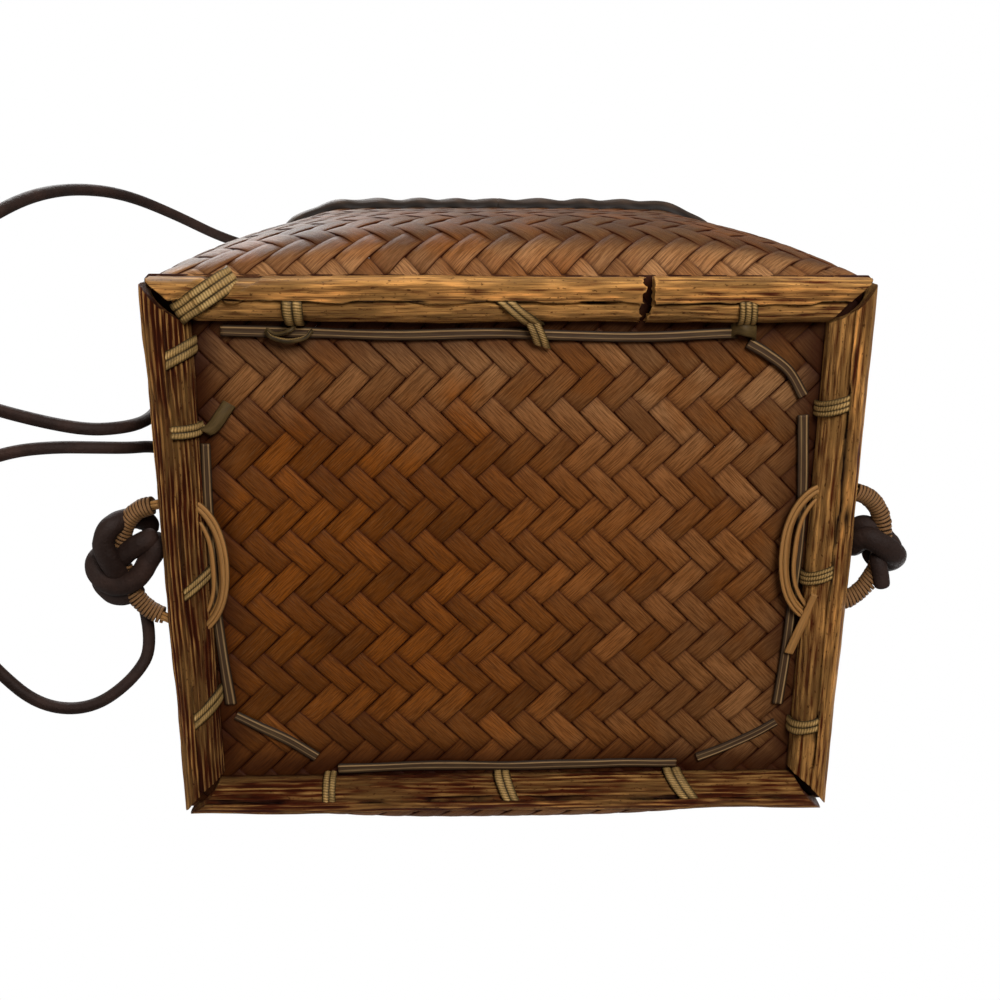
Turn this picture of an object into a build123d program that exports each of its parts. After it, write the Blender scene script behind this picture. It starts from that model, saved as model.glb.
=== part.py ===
"""Woven basket box bag: body on four split-cane rails, two rings, a rim and a leather strap.

Millimetres. The frame stands on its base rails: +Z runs up out of the open mouth, +X along the
long sides, and the origin lies on the floor under the middle of the base.
"""

import os
from math import pi, radians, sin, tan

from build123d import *

# Driving sizes of the base
base_length = 250.0  # over the rails, along X
base_depth = 205.0  # over the rails, along Y
rail_height = 10.0  # floor to the underside of the woven base
rail_width = 15.0
back_rail_width = 13.0
rail_outer_radius = 5.0  # rounding of a rail's outer lower edge
rail_shoulder_lift = 1.5  # the inner half is pulled up clear of the floor by this much
slit_width = 1.1  # the crack along each rail that the lashings come out of
slit_depth = 2.4
slit_offset = 0.7  # the slit starts this far outside the rail's middle line
hollow_mouth = 1.0  # the trough on the rail's upper side is straight this far down
slit_roof = 1.2  # cane left between the slit and the trough
rail_side = 2.1  # cane left on each side of the trough
mitre_gap = 3.0  # open corner between two rails
break_x = 47.0  # the front rail is snapped through here
break_gap = 5.0
break_slant = 1.6

# Woven body
wall = 2.0
body_height = 150.0  # woven base to the top edge of the wall
mouth_length = 230.0
mouth_depth = 238.0
mouth_corner = 45.0
base_corner = 10.0
belly_bulge = 21.0  # how far the long walls swell past the rails
belly_skew = 0.43  # below 0.5 it puts the belly low on the wall
end_bulge = 3.0
edge_swell = 1.5  # swell of each side at the base and at the mouth

# Rim
hoop_width = 6.0
hoop_height = 5.0
binding_thickness = 1.2
binding_drop = 12.0  # how far the binding reaches down from its own top
clear = 0.2

# Lashings and flat cane under the base
lashing_thickness = 1.1
lashing_gap = 0.15
seat_clearance = 0.1
corner_band_from_corner = (30.0, 20.0)  # its middle at the rail's outer and inner edge
corner_band_width = 7.0
strip_width = 4.4
strip_thickness = 1.2
strip_gap = 0.4

# Rings
ring_inset = 4.5  # its centre lies inside the rail's outer edge
ring_right_y = -3.0
ring_drop = 3.6  # its centre lies below the woven base
ring_radius = 20.0
ring_thickness = 4.2
wrap_thickness = 1.1
wrap_gap = 0.1
wrap_half_angle = 68.0
slot_clearance = 0.3

# Strap
strap_diameter = 4.5
knot_bottom = 2.5
knot_height = 19.0
knot_left_size = (24.0, 32.0)
knot_left_shift = (2.0, 1.0)  # its centre outwards and along from the ring's outermost point
knot_right_size = (18.0, 28.0)
knot_right_shift = (-2.0, 5.0)
knot_fillet = 4.0
stub_radius = 3.2
stub_length = 8.0

half_length = base_length / 2
half_depth = base_depth / 2
rim_z = rail_height + body_height
ring_x = half_length - ring_inset
ring_z = rail_height - ring_drop

front = Plane(origin=(0, -half_depth, 0), x_dir=(1, 0, 0), z_dir=(0, 0, 1))
back = Plane(origin=(0, half_depth, 0), x_dir=(-1, 0, 0), z_dir=(0, 0, 1))
left = Plane(origin=(-half_length, 0, 0), x_dir=(0, -1, 0), z_dir=(0, 0, 1))
right = Plane(origin=(half_length, 0, 0), x_dir=(0, 1, 0), z_dir=(0, 0, 1))

os.makedirs("parts", exist_ok=True)


def save(part, name):
    """Label a finished piece and write it as its own file."""
    part.label = name
    export_step(part, f"parts/{name}.step")


def cross_plane(side, along):
    """Plane across a rail: its x runs inwards from the rail's outer edge and its y runs up."""
    return Plane(origin=side.from_local_coords((along, 0, 0)), x_dir=side.y_dir, z_dir=side.x_dir)


def body_outline(height, length, depth, bulge, end, corner):
    """A rounded rectangle with swelling sides, at one height."""
    x, y = length / 2, depth / 2
    with BuildSketch(Plane.XY.offset(height)) as outline:
        with BuildLine():
            ThreePointArc((-x, -y), (0, -y - bulge), (x, -y))
            ThreePointArc((x, -y), (x + end, 0), (x, y))
            ThreePointArc((x, y), (0, y + bulge), (-x, y))
            ThreePointArc((-x, y), (-x - end, 0), (-x, -y))
        make_face()
        fillet(outline.vertices(), corner)
    return outline.sketch


def wall_level(share, inset=0.0, lift=0.0):
    """The body's outline a share of the way up its wall, moved in by inset and up by lift.

    The wall leaves the base almost flat, swells to its belly a fifth of the way up, and eases in
    to the mouth, while its corners grow rounder.
    """
    ease = share * share * (3 - 2 * share)
    belly = sin(pi * share**belly_skew)
    length = base_length + (mouth_length - base_length - 2 * edge_swell) * ease
    depth = base_depth + (mouth_depth - base_depth - 2 * edge_swell) * ease
    corner = base_corner + (mouth_corner - base_corner) * share
    return body_outline(
        rail_height + share * body_height + lift,
        length - 2 * inset,
        depth - 2 * inset,
        edge_swell + belly_bulge * belly,
        edge_swell + end_bulge * belly,
        corner - inset,
    )


level_shares = [0, 0.03, 0.07, 0.12, 0.2, 0.3, 0.42, 0.56, 0.7, 0.84, 0.93, 1]

with BuildPart() as woven_body:
    loft(sections=[wall_level(share) for share in level_shares], ruled=True)
    inner = [wall_level(share, wall, 0 if share else wall) for share in level_shares]
    loft(sections=[inner[0], *inner[2:]], ruled=True, mode=Mode.SUBTRACT)
save(woven_body.part, "woven_body")

# Rim: a cane hoop on the wall's top edge, and the twisted binding that straddles it
rim_length = mouth_length - 2 * edge_swell
rim_depth = mouth_depth - 2 * edge_swell
hoop_reach = (hoop_width - wall) / 2


def rim_ring(bottom, top, outer, inner):
    """A flat ring that follows the mouth, outer and inner measured out from the wall's face."""
    with BuildPart() as ring:
        for reach, mode in ((outer, Mode.ADD), (inner, Mode.SUBTRACT)):
            corner = mouth_corner + reach
            with BuildSketch(Plane.XY.offset(bottom)):
                add(
                    body_outline(
                        0, rim_length + 2 * reach, rim_depth + 2 * reach, edge_swell, edge_swell,
                        corner,
                    )
                )
            extrude(amount=top - bottom, mode=mode)
    return ring.part


with BuildPart() as rim_hoop:
    add(rim_ring(rim_z, rim_z + hoop_height, hoop_reach, hoop_reach - hoop_width))
save(rim_hoop.part, "rim_hoop")

binding_top = rim_z + hoop_height + clear + binding_thickness
binding_out = hoop_reach + clear + binding_thickness
with BuildPart() as rim_binding:
    add(
        rim_ring(
            binding_top - binding_drop, binding_top, binding_out, binding_out - hoop_width
            - 2 * clear - 2 * binding_thickness,
        )
    )
    add(
        rim_ring(
            binding_top - binding_drop, rim_z + hoop_height + clear, hoop_reach + clear,
            hoop_reach - hoop_width - clear,
        ),
        mode=Mode.SUBTRACT,
    )
save(rim_binding.part, "rim_binding")


def slit_values(width):
    """Where a rail's slit starts and ends, and the height of its inner half's centre of curvature."""
    slit_start = width / 2 - slit_offset
    slit_end = slit_start + slit_width
    return slit_start, slit_end, rail_shoulder_lift + width - slit_end


def rail_section(side, width, along, length):
    """Half-round split cane, hollow above, with a slit between its outer and inner halves."""
    slit_start, slit_end, shoulder = slit_values(width)
    inner_radius = width - slit_end
    with BuildPart() as rail:
        with BuildSketch(cross_plane(side, along)):
            with BuildLine():
                Line((0, rail_height), (0, rail_outer_radius))
                CenterArc((rail_outer_radius, rail_outer_radius), rail_outer_radius, 180, 90)
                Line((rail_outer_radius, 0), (slit_start, 0))
                Line((slit_start, 0), (slit_start, slit_depth))
                Line((slit_start, slit_depth), (slit_end, slit_depth))
                Line((slit_end, slit_depth), (slit_end, rail_shoulder_lift))
                CenterArc((slit_end, shoulder), inner_radius, 270, 90)
                Line((width, shoulder), (width, rail_height))
                Line((width, rail_height), (0, rail_height))
            make_face()
            share = width / rail_width
            across = share * (rail_width / 2 - rail_side)
            down = share * (rail_height - hollow_mouth - slit_depth - slit_roof)
            with Locations((width / 2, rail_height - hollow_mouth)):
                Ellipse(across, down, mode=Mode.SUBTRACT)
            with Locations((width / 2, rail_height)):
                Rectangle(2 * across, 2 * hollow_mouth, mode=Mode.SUBTRACT)
        extrude(amount=length)
    return rail.part


def cut_rail(side, width, span, start_slope, end_slope):
    """A rail from span[0] to span[1] along its outer edge, its ends sloping as it comes inwards."""
    start, end = span
    with BuildPart() as rail:
        add(rail_section(side, width, start - 1, end - start + 2))
        with BuildSketch(side):
            with BuildLine():
                Polyline(
                    (start, 0), (end, 0), (end - end_slope * width, width),
                    (start + start_slope * width, width), close=True,
                )
            make_face()
        extrude(amount=rail_height, mode=Mode.INTERSECT)
    return rail.part


def ring_slots(side, along, inwards):
    """The notch that a ring needs through both edges of an end rail."""
    half = ring_thickness / 2 + slot_clearance
    with BuildPart() as slots:
        with BuildSketch(side.offset(ring_z - half)):
            with Locations((along, inwards)):
                Circle(ring_radius + half)
                Circle(ring_radius - half, mode=Mode.SUBTRACT)
        extrude(amount=rail_height - ring_z + half)
    return slots.part


def plan_band(side, first, last, outer_s, inner_s, band):
    """Plan shape of a band that leans from outer_s to inner_s as it crosses a rail."""
    with BuildSketch(side) as plan:
        with BuildLine():
            Polyline(
                (outer_s - band / 2, first), (outer_s + band / 2, first),
                (inner_s + band / 2, last), (inner_s - band / 2, last), close=True,
            )
        make_face()
    return plan.sketch


def lashing(side, width, outer_s, inner_s, band):
    """A cane band out of the slit and over the rail's inner half to the woven base."""
    slit_start, slit_end, shoulder = slit_values(width)
    inner_radius = width - slit_end + lashing_gap
    outer_radius = inner_radius + lashing_thickness
    start = min(outer_s, inner_s) - band
    reach = max(outer_s, inner_s) + band - start
    bottom = shoulder - outer_radius
    with BuildPart() as piece:
        with BuildSketch(cross_plane(side, start)):
            with Locations((slit_end, shoulder)):
                Circle(outer_radius)
                Circle(inner_radius, mode=Mode.SUBTRACT)
                Rectangle(
                    outer_radius, outer_radius, align=(Align.MIN, Align.MAX), mode=Mode.INTERSECT
                )
            with Locations((slit_end + inner_radius, shoulder)):
                Rectangle(
                    lashing_thickness, rail_height - shoulder, align=(Align.MIN, Align.MIN)
                )
            with Locations((slit_start + lashing_gap, bottom)):
                Rectangle(
                    slit_width - lashing_gap, slit_depth - lashing_gap - bottom,
                    align=(Align.MIN, Align.MIN),
                )
        extrude(amount=reach)
        add(plan_band(side, slit_start, slit_end + outer_radius, outer_s, inner_s, band))
        extrude(amount=rail_height, mode=Mode.INTERSECT)
    return piece.part


def corner_band(seat):
    """The wide band over the front rail's left end; with a seat it is the hollow it lies in."""
    _, slit_end, shoulder = slit_values(rail_width)
    inner_radius = rail_width - slit_end + lashing_gap
    sunk = lashing_thickness + lashing_gap
    proud = seat and lashing_gap + seat
    outer_s, inner_s = (inset - half_length for inset in corner_band_from_corner)
    band = corner_band_width
    start = min(outer_s, inner_s) - 2 * band
    with BuildPart() as piece:
        with BuildSketch(cross_plane(front, start)):
            with Locations((rail_outer_radius, rail_outer_radius)):
                Circle(rail_outer_radius - lashing_gap + proud)
                Circle(rail_outer_radius - sunk - seat, mode=Mode.SUBTRACT)
                reach = rail_outer_radius + proud
                Rectangle(reach, reach, align=(Align.MAX, Align.MAX), mode=Mode.INTERSECT)
            with Locations((rail_outer_radius, lashing_gap - proud)):
                Rectangle(
                    slit_end - rail_outer_radius, lashing_thickness + proud + seat,
                    align=(Align.MIN, Align.MIN),
                )
            with Locations((lashing_gap - proud, rail_outer_radius)):
                Rectangle(
                    lashing_thickness + proud + seat, rail_height - rail_outer_radius,
                    align=(Align.MIN, Align.MIN),
                )
            if not seat:
                with Locations((slit_end, shoulder)):
                    outer_radius = inner_radius + lashing_thickness
                    with BuildSketch(mode=Mode.PRIVATE) as quarter:
                        Circle(outer_radius)
                        Circle(inner_radius, mode=Mode.SUBTRACT)
                        Rectangle(
                            outer_radius, outer_radius, align=(Align.MIN, Align.MAX),
                            mode=Mode.INTERSECT,
                        )
                    add(quarter.sketch)
        extrude(amount=abs(inner_s - outer_s) + 4 * band)
        last = slit_end + inner_radius + lashing_thickness
        add(plan_band(front, 0, last, outer_s, inner_s, band + 3 * seat))
        extrude(amount=rail_height, mode=Mode.INTERSECT)
    return piece.part


corner_cut = mitre_gap / 2 * 2**0.5
long_end = half_length - corner_cut
short_end = half_depth - corner_cut

slant = break_slant / rail_width
with BuildPart() as rail_front_left:
    add(cut_rail(front, rail_width, (-long_end, break_x - break_gap / 2), 1, slant))
    add(corner_band(seat_clearance), mode=Mode.SUBTRACT)
save(rail_front_left.part, "rail_front_left")

with BuildPart() as lashing_front_1:
    add(corner_band(0))
save(lashing_front_1.part, "lashing_front_1")

with BuildPart() as rail_front_right:
    add(cut_rail(front, rail_width, (break_x + break_gap / 2, long_end), -slant, 1))
save(rail_front_right.part, "rail_front_right")

with BuildPart() as rail_back:
    add(cut_rail(back, back_rail_width, (-long_end, long_end), 1, 1))
save(rail_back.part, "rail_back")

for name, side, along in (("left", left, 0.0), ("right", right, ring_right_y)):
    with BuildPart() as rail:
        add(cut_rail(side, rail_width, (-short_end, short_end), 1, 1))
        add(ring_slots(side, along, half_length - ring_x), mode=Mode.SUBTRACT)
    save(rail.part, f"rail_{name}")



# Lashings: side, rail width, and for each where its middle crosses the slit and the inner edge,
# and its width
lashings = {
    "front": (
        front, rail_width,
        [
            (51 - half_length, 51 - half_length, 7),
            (-2, 6, 7),
            (half_length - 45, half_length - 44, 7),
        ],
    ),
    "left": (
        left, rail_width,
        [
            (half_depth - 27.5, half_depth - 24.5, 6),
            (half_depth - 52.5, half_depth - 52.5, 5),
            (-10, -4, 5),
            (41.5 - half_depth, 47.5 - half_depth, 7),
        ],
    ),
    "right": (
        right, rail_width,
        [
            (42.5 - half_depth, 44.5 - half_depth, 6),
            (2, 6, 5),
            (half_depth - 37.5, half_depth - 34.5, 6),
        ],
    ),
    "back": (
        back, back_rail_width,
        [
            (half_length - 56, half_length - 56, 5),
            (-1, 2, 6),
            (55 - half_length, 59 - half_length, 7),
        ],
    ),
}
for name, (side, width, bands) in lashings.items():
    first_number = 2 if name == "front" else 1
    for number, (outer_s, inner_s, band) in enumerate(bands, first_number):
        piece = lashing(side, width, outer_s, inner_s, band)
        save(piece, f"lashing_{name}_{number}")


def flat_cane(start, end):
    """A flat cane strip against the underside of the woven base, from start to end in plan."""
    run = Vector(*end) - Vector(*start)
    middle = (Vector(*start) + Vector(*end)) / 2
    with BuildPart() as strip:
        with BuildSketch(Plane.XY.offset(rail_height - strip_thickness)):
            with Locations(Location((middle.X, middle.Y, 0), (0, 0, Vector(1, 0).get_signed_angle(run)))):
                Rectangle(run.length, strip_width)
        extrude(amount=strip_thickness)
    return strip.part


strip_inset = rail_width + lashing_gap + lashing_thickness + strip_gap + strip_width / 2
strip_x = half_length - strip_inset
front_y = strip_inset - half_depth
back_y = half_depth - strip_inset + rail_width - back_rail_width
strips = {
    "edge_strip_front": ((8.15 - strip_x, front_y), (strip_x - 27.15, front_y)),
    "edge_strip_back": ((43.15 - strip_x, back_y), (strip_x - 42.15, back_y)),
    "edge_strip_left": ((-strip_x, front_y + 41.65), (-strip_x, back_y - 29.65)),
    "edge_strip_right": ((strip_x, front_y + 31.65), (strip_x, back_y - 27.65)),
    "corner_strip_front_right": (
        (strip_x - 23.15, front_y + 5.65), (strip_x - 2.15, front_y + 20.65),
    ),
    "corner_strip_back_right": (
        (strip_x - 2.15, back_y - 16.65), (strip_x - 29.15, back_y - 3.65),
    ),
    "corner_strip_back_left": (
        (2.15 - strip_x, back_y - 21.65), (31.15 - strip_x, back_y - 5.65),
    ),
}
for name, (start, end) in strips.items():
    save(flat_cane(start, end), name)


def ring_arc(x, y, radius, hole, middle_angle, half_angle):
    """An arc of round bar, or of tube, about a ring's own centre."""
    centre = (x, y, ring_z)
    first_angle = middle_angle - half_angle
    start = Plane(
        origin=centre,
        x_dir=Vector(1, 0).rotate(Axis.Z, first_angle),
        z_dir=Vector(0, -1).rotate(Axis.Z, first_angle),
    )
    with BuildPart() as arc:
        with BuildSketch(start):
            with Locations((ring_radius, 0)):
                Circle(radius)
                if hole:
                    Circle(hole, mode=Mode.SUBTRACT)
        revolve(axis=Axis(centre, (0, 0, 1)), revolution_arc=2 * half_angle)
    return arc.part


core = ring_thickness / 2
wrap_inside = core + wrap_gap
wrap_outside = wrap_inside + wrap_thickness
knot_left_at = (-ring_x - ring_radius - knot_left_shift[0], knot_left_shift[1])
knot_right_at = (ring_x + ring_radius + knot_right_shift[0], ring_right_y + knot_right_shift[1])
knots = {
    "left": (-ring_x, 0.0, 180, knot_left_at, knot_left_size),
    "right": (ring_x, ring_right_y, 0, knot_right_at, knot_right_size),
}
for name, (x, y, outwards, knot_at, knot_size) in knots.items():
    save(ring_arc(x, y, core, 0, outwards, 180), f"ring_{name}")
    wrapped = ring_arc(x, y, wrap_outside, wrap_inside, outwards, wrap_half_angle)
    save(wrapped, f"ring_wrap_{name}")
    with BuildPart() as knot:
        with Locations((*knot_at, knot_bottom)):
            Box(*knot_size, knot_height, align=(Align.CENTER, Align.CENTER, Align.MIN))
        fillet(knot.edges(), knot_fillet)
        if name == "right":
            stub_plane = Plane(
                origin=(knot_at[0], knot_at[1], knot_bottom + stub_radius), z_dir=(0, 1, 0)
            )
            with BuildSketch(stub_plane):
                Circle(stub_radius)
            extrude(amount=knot_size[1] / 2 + stub_length)
        add(ring_arc(x, y, wrap_outside + slot_clearance, 0, outwards, 90), mode=Mode.SUBTRACT)
    save(knot.part, f"knot_{name}")

# Strap: from the right knot up the end wall, over the mouth and the front left of the rim, down
# to the floor, one bight up against the left end wall, and back along the floor to the left knot
floor_z = strap_diameter / 2 + 0.05
strap_route = [
    (137, -2, knot_bottom + knot_height),
    (137, -2, 44),
    (134.5, -5, 76),
    (130, -9, 108),
    (127, -12, 138),
    (125.5, -15, 161),
    (118.5, -18, 177),
    (103, -24, 180),
    (84, -31, 171),
    (58, -41, 158),
    (30, -51, 151),
    (2, -61, 149),
    (-26, -72, 152),
    (-53, -82, 160),
    (-75, -90, 171),
    (-93, -97, 179),
    (-112, -105, 178),
    (-127, -112, 163),
    (-143, -120, 138),
    (-156, -127, 106),
    (-164, -129, 72),
    (-169, -128, 38),
    (-175, -122, 12),
    (-188, -112, floor_z),
    (-204, -99, floor_z),
    (-210, -80, floor_z),
    (-199, -63, floor_z),
    (-179, -55, floor_z),
    (-161, -51.5, floor_z),
    (-147, -50.5, 3.5),
    (-138, -49.5, 10),
    (-134, -48, 24),
    (-133, -48, 40),
    (-133, -54, 56),
    (-133, -58, 73),
    (-132, -49, 90),
    (-132, -31, 93),
    (-132, -20, 78),
    (-132.6, -24, 60),
    (-133, -33, 45),
    (-133.5, -38, 29),
    (-137, -39, 15),
    (-146, -40.5, 8),
    (-160, -42, 5),
    (-174, -41, 3),
    (-189, -36, floor_z),
    (-204, -22, floor_z),
    (-209, -1, floor_z),
    (-202, 20, floor_z),
    (-190, 39, floor_z),
    (-175, 55, floor_z),
    (-155, 59, floor_z),
    (-141, 47, 6),
    (-137, 34, 12),
    (-137, knot_left_at[1] + knot_left_size[1] / 2, 12),
]


def corner_radii(points):
    """The largest radius for each corner of the route that leaves a tenth of its shorter run."""
    radii = []
    for before, corner, after in zip(points, points[1:], points[2:]):
        arriving, leaving = Vector(*corner) - Vector(*before), Vector(*after) - Vector(*corner)
        half_turn = radians(arriving.get_angle(leaving)) / 2
        radii.append(0.45 * min(arriving.length, leaving.length) / tan(half_turn))
    return radii


strap_radii = corner_radii(strap_route)
with BuildPart() as strap:
    with BuildLine() as strap_path:
        FilletPolyline(*strap_route, radius=strap_radii)
    with BuildSketch(Plane(origin=strap_path.line @ 0, z_dir=strap_path.line % 0)):
        Circle(strap_diameter / 2)
    sweep(path=strap_path.line)
save(strap.part, "strap")

strap_length = sum(edge.length for edge in strap_path.edges())
strap_section = pi * (strap_diameter / 2) ** 2
print("strap length", round(strap_length, 1), "tightest bend", round(min(strap_radii), 1))
print("strap radii", [round(radius) for radius in strap_radii])
print("strap volume over its section times its length",
      round(strap.part.volume / strap_section / strap_length, 4))
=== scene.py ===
"""Looks of the woven basket box bag: weave, rails, lashings, rings, rim and strap."""

import bpy
import numpy as np
from bpy.props import FloatProperty, FloatVectorProperty, IntProperty, PointerProperty
from bpy.types import Operator, Panel, PropertyGroup
from mathutils import Matrix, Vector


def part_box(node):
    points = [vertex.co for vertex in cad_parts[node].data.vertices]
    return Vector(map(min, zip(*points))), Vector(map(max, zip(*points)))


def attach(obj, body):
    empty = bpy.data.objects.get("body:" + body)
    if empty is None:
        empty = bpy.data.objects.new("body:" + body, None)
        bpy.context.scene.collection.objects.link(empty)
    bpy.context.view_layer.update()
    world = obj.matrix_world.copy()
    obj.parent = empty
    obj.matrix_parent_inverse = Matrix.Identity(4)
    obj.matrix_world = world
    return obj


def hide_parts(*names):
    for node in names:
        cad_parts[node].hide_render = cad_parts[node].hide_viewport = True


bl_info = {
    "name": "Woven Basket Box Bag",
    "version": (1, 0, 0),
    "blender": (4, 5, 0),
    "location": "3D View > Sidebar > Basket",
    "description": "Builds a woven cane basket bag on split rails, with rings and a strap",
    "category": "Add Mesh",
}

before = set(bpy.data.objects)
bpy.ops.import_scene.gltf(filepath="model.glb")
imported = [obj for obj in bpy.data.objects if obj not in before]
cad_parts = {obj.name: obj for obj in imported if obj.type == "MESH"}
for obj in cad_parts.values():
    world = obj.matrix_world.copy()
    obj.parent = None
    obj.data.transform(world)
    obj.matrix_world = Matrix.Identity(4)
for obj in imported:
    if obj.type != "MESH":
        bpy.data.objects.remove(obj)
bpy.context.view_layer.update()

MM = 0.001
UP = np.array([0.0, 0.0, 1.0])


def node_box(name):
    """Lowest and highest corner of a frame node, as arrays."""
    low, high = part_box(name)
    return np.array(low), np.array(high)


_, body_high = node_box("woven_body")
left_low, left_high = node_box("rail_left")
front_low, _ = node_box("rail_front_left")
back_low, back_high = node_box("rail_back")
HALF_LENGTH = -left_low[0]
HALF_DEPTH = -front_low[1]
RAIL_WIDTH = left_high[0] - left_low[0]
BACK_RAIL_WIDTH = back_high[1] - back_low[1]
RAIL_HEIGHT = left_high[2]
WALL_TOP = body_high[2]
ring_low, ring_high = node_box("ring_left")
RING_X = -(ring_low[0] + ring_high[0]) / 2
RING_Z = (ring_low[2] + ring_high[2]) / 2
RING_THICKNESS = ring_high[2] - ring_low[2]
RING_RADIUS = (ring_high[1] - ring_low[1] - RING_THICKNESS) / 2
right_ring_low, right_ring_high = node_box("ring_right")
RING_RIGHT_Y = (right_ring_low[1] + right_ring_high[1]) / 2

# Shape of the wall, as in the frame's own body
BASE_CORNER = 5 * MM
MOUTH_CORNER = 45 * MM
MOUTH_HALF_LENGTH = 113.5 * MM
MOUTH_HALF_DEPTH = 116.8 * MM
SIDE_SWELL = 1.5 * MM
BELLY = 16.5 * MM
BELLY_SKEW = 0.5  # below one: the belly is fullest below half height
END_BELLY = 3 * MM
BASE_SHIFT = 0.8 * MM  # the weave's middle lies this far behind the base's
BASE_SAG = 0.25 * MM
# painted shade near the rails: full at the first distance, gone at the second
RAIL_SHADE_FULL, RAIL_SHADE_CLEAR = 15 * MM, 32 * MM  # distance from the base's border


# ---------------------------------------------------------------- settings

LENGTH = {"subtype": "DISTANCE", "unit": "LENGTH"}
COLOUR = {"subtype": "COLOR", "size": 3, "min": 0.0, "max": 1.0}


class WeaveSettings(PropertyGroup):
    half_cell: FloatProperty(
        name="Half Cell", description="Half the width of one diamond of the weave",
        default=6.15 * MM, min=2 * MM, **LENGTH,
    )
    strip_width: FloatProperty(
        name="Strip Width", description="Width of a flat cane strip, as a share of the pitch",
        default=1.0, min=0.5, max=1.0, subtype="FACTOR",
    )
    thickness: FloatProperty(
        name="Strip Thickness", description="Thickness of a flat cane strip",
        default=0.9 * MM, min=0.2 * MM, **LENGTH,
    )
    lift: FloatProperty(
        name="Lift", description="How far a strip rises and dips as it passes over and under",
        default=0.55 * MM, min=0.0, **LENGTH,
    )
    wall_strips: IntProperty(
        name="Wall Strips", description="Strips of each direction around the wall",
        default=74, min=20,
    )
    wall_rows: IntProperty(
        name="Wall Rows", description="Half cells from the base to the rim", default=26, min=8,
    )
    colour: FloatVectorProperty(
        name="Cane Colour", description="Varnished cane of the body",
        default=(0.135, 0.038, 0.0035), **COLOUR,
    )
    # painted shade: this dark colour darkens the strips' edges and dips, standing for the shade
    # between the strips
    gap_shade_colour: FloatVectorProperty(
        name="Gap Shade Colour", description="Painted shade at the strips' edges and in their dips",
        default=(0.026, 0.0045, 0.0008), **COLOUR,
    )


class RailSettings(PropertyGroup):
    ridge: FloatProperty(
        name="Ridge Height", description="Height of the lengthwise ridges",
        default=0.42 * MM, min=0.0, **LENGTH,
    )
    break_gap: FloatProperty(
        name="Break Gap", description="Gap where the front rail is snapped",
        default=4.0 * MM, min=0.0, **LENGTH,
    )
    light: FloatVectorProperty(
        name="Ridge Colour", description="Golden tops of the ridges",
        default=(0.59, 0.295, 0.085), **COLOUR,
    )
    dark: FloatVectorProperty(
        name="Groove Colour", description="Stained grooves, and painted shade in the cracks",
        default=(0.034, 0.0062, 0.0014), **COLOUR,
    )


class RimSettings(PropertyGroup):
    lump_spacing: FloatProperty(
        name="Lump Spacing", description="Distance between the twists of the binding",
        default=19 * MM, min=5 * MM, **LENGTH,
    )
    colour: FloatVectorProperty(
        name="Binding Colour", description="Dark binding over the rim",
        default=(0.026, 0.015, 0.009), **COLOUR,
    )


class LashingSettings(PropertyGroup):
    thickness: FloatProperty(
        name="Band Thickness", description="Thickness of a lashing band",
        default=1.3 * MM, min=0.3 * MM, **LENGTH,
    )
    rib_pitch: FloatProperty(
        name="Rib Pitch", description="Distance between the cross ribs",
        default=1.0 * MM, min=0.4 * MM, **LENGTH,
    )
    colour: FloatVectorProperty(
        name="Band Colour", description="Olive gold of the lashing cane",
        default=(0.27, 0.165, 0.055), **COLOUR,
    )


class RingSettings(PropertyGroup):
    wrap_pitch: FloatProperty(
        name="Wrap Pitch", description="Distance between the turns of the wrapping",
        default=1.5 * MM, min=0.8 * MM, **LENGTH,
    )
    cane_colour: FloatVectorProperty(
        name="Ring Cane", description="Split strands of the rings",
        default=(0.27, 0.125, 0.035), **COLOUR,
    )
    wrap_colour: FloatVectorProperty(
        name="Ring Wrapping", description="Cane turns around the rings",
        default=(0.125, 0.056, 0.020), **COLOUR,
    )


class StrapSettings(PropertyGroup):
    diameter: FloatProperty(
        name="Diameter", description="Diameter of the leather strap",
        default=4.5 * MM, min=1 * MM, **LENGTH,
    )
    colour: FloatVectorProperty(
        name="Leather Colour", description="Dark leather of the strap and knots",
        default=(0.013, 0.0062, 0.0042), **COLOUR,
    )


# ---------------------------------------------------------------- numbers

def wander(x, seed, step):
    """Smooth random curve: seeded values a step apart, blended by a cosine between neighbours."""
    size, shift = 512, 100
    values = np.random.default_rng(seed).uniform(-1, 1, size)
    place = np.asarray(x, float) / step + shift
    cell = np.floor(place).astype(int)
    blend = (1 - np.cos(np.pi * (place - cell))) / 2
    return values[cell % size] * (1 - blend) + values[(cell + 1) % size] * blend


def rough(x, y, seed, step_x, step_y):
    """Smooth random surface: seeded values on a lattice, blended by cosines both ways."""
    size, shift = 128, 50
    values = np.random.default_rng(seed).uniform(-1, 1, (size, size))
    px, py = np.asarray(x, float) / step_x + shift, np.asarray(y, float) / step_y + shift
    cx, cy = np.floor(px).astype(int), np.floor(py).astype(int)
    bx, by = (1 - np.cos(np.pi * (px - cx))) / 2, (1 - np.cos(np.pi * (py - cy))) / 2
    cx, cy, nx, ny = cx % size, cy % size, (cx + 1) % size, (cy + 1) % size
    low = values[cx, cy] * (1 - bx) + values[nx, cy] * bx
    high = values[cx, ny] * (1 - bx) + values[nx, ny] * bx
    return low * (1 - by) + high * by


def step_between(x, low, high):
    """0 below low, 1 above high, and an S-shaped rise between them."""
    share = np.clip((x - low) / (high - low), 0, 1)
    return share * share * (3 - 2 * share)


def unit(vectors):
    """Vectors scaled to length one, along the last axis."""
    return vectors / np.maximum(np.linalg.norm(vectors, axis=-1, keepdims=True), 1e-12)


def hump(x, middle, width):
    """1 at the middle and near 0 far from it: the exponential of minus the squared distance."""
    return np.exp(-(((x - middle) / width) ** 2))


def full_turn(count):
    """Angles of count even steps around a circle."""
    return np.arange(count) * 2 * np.pi / count


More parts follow.
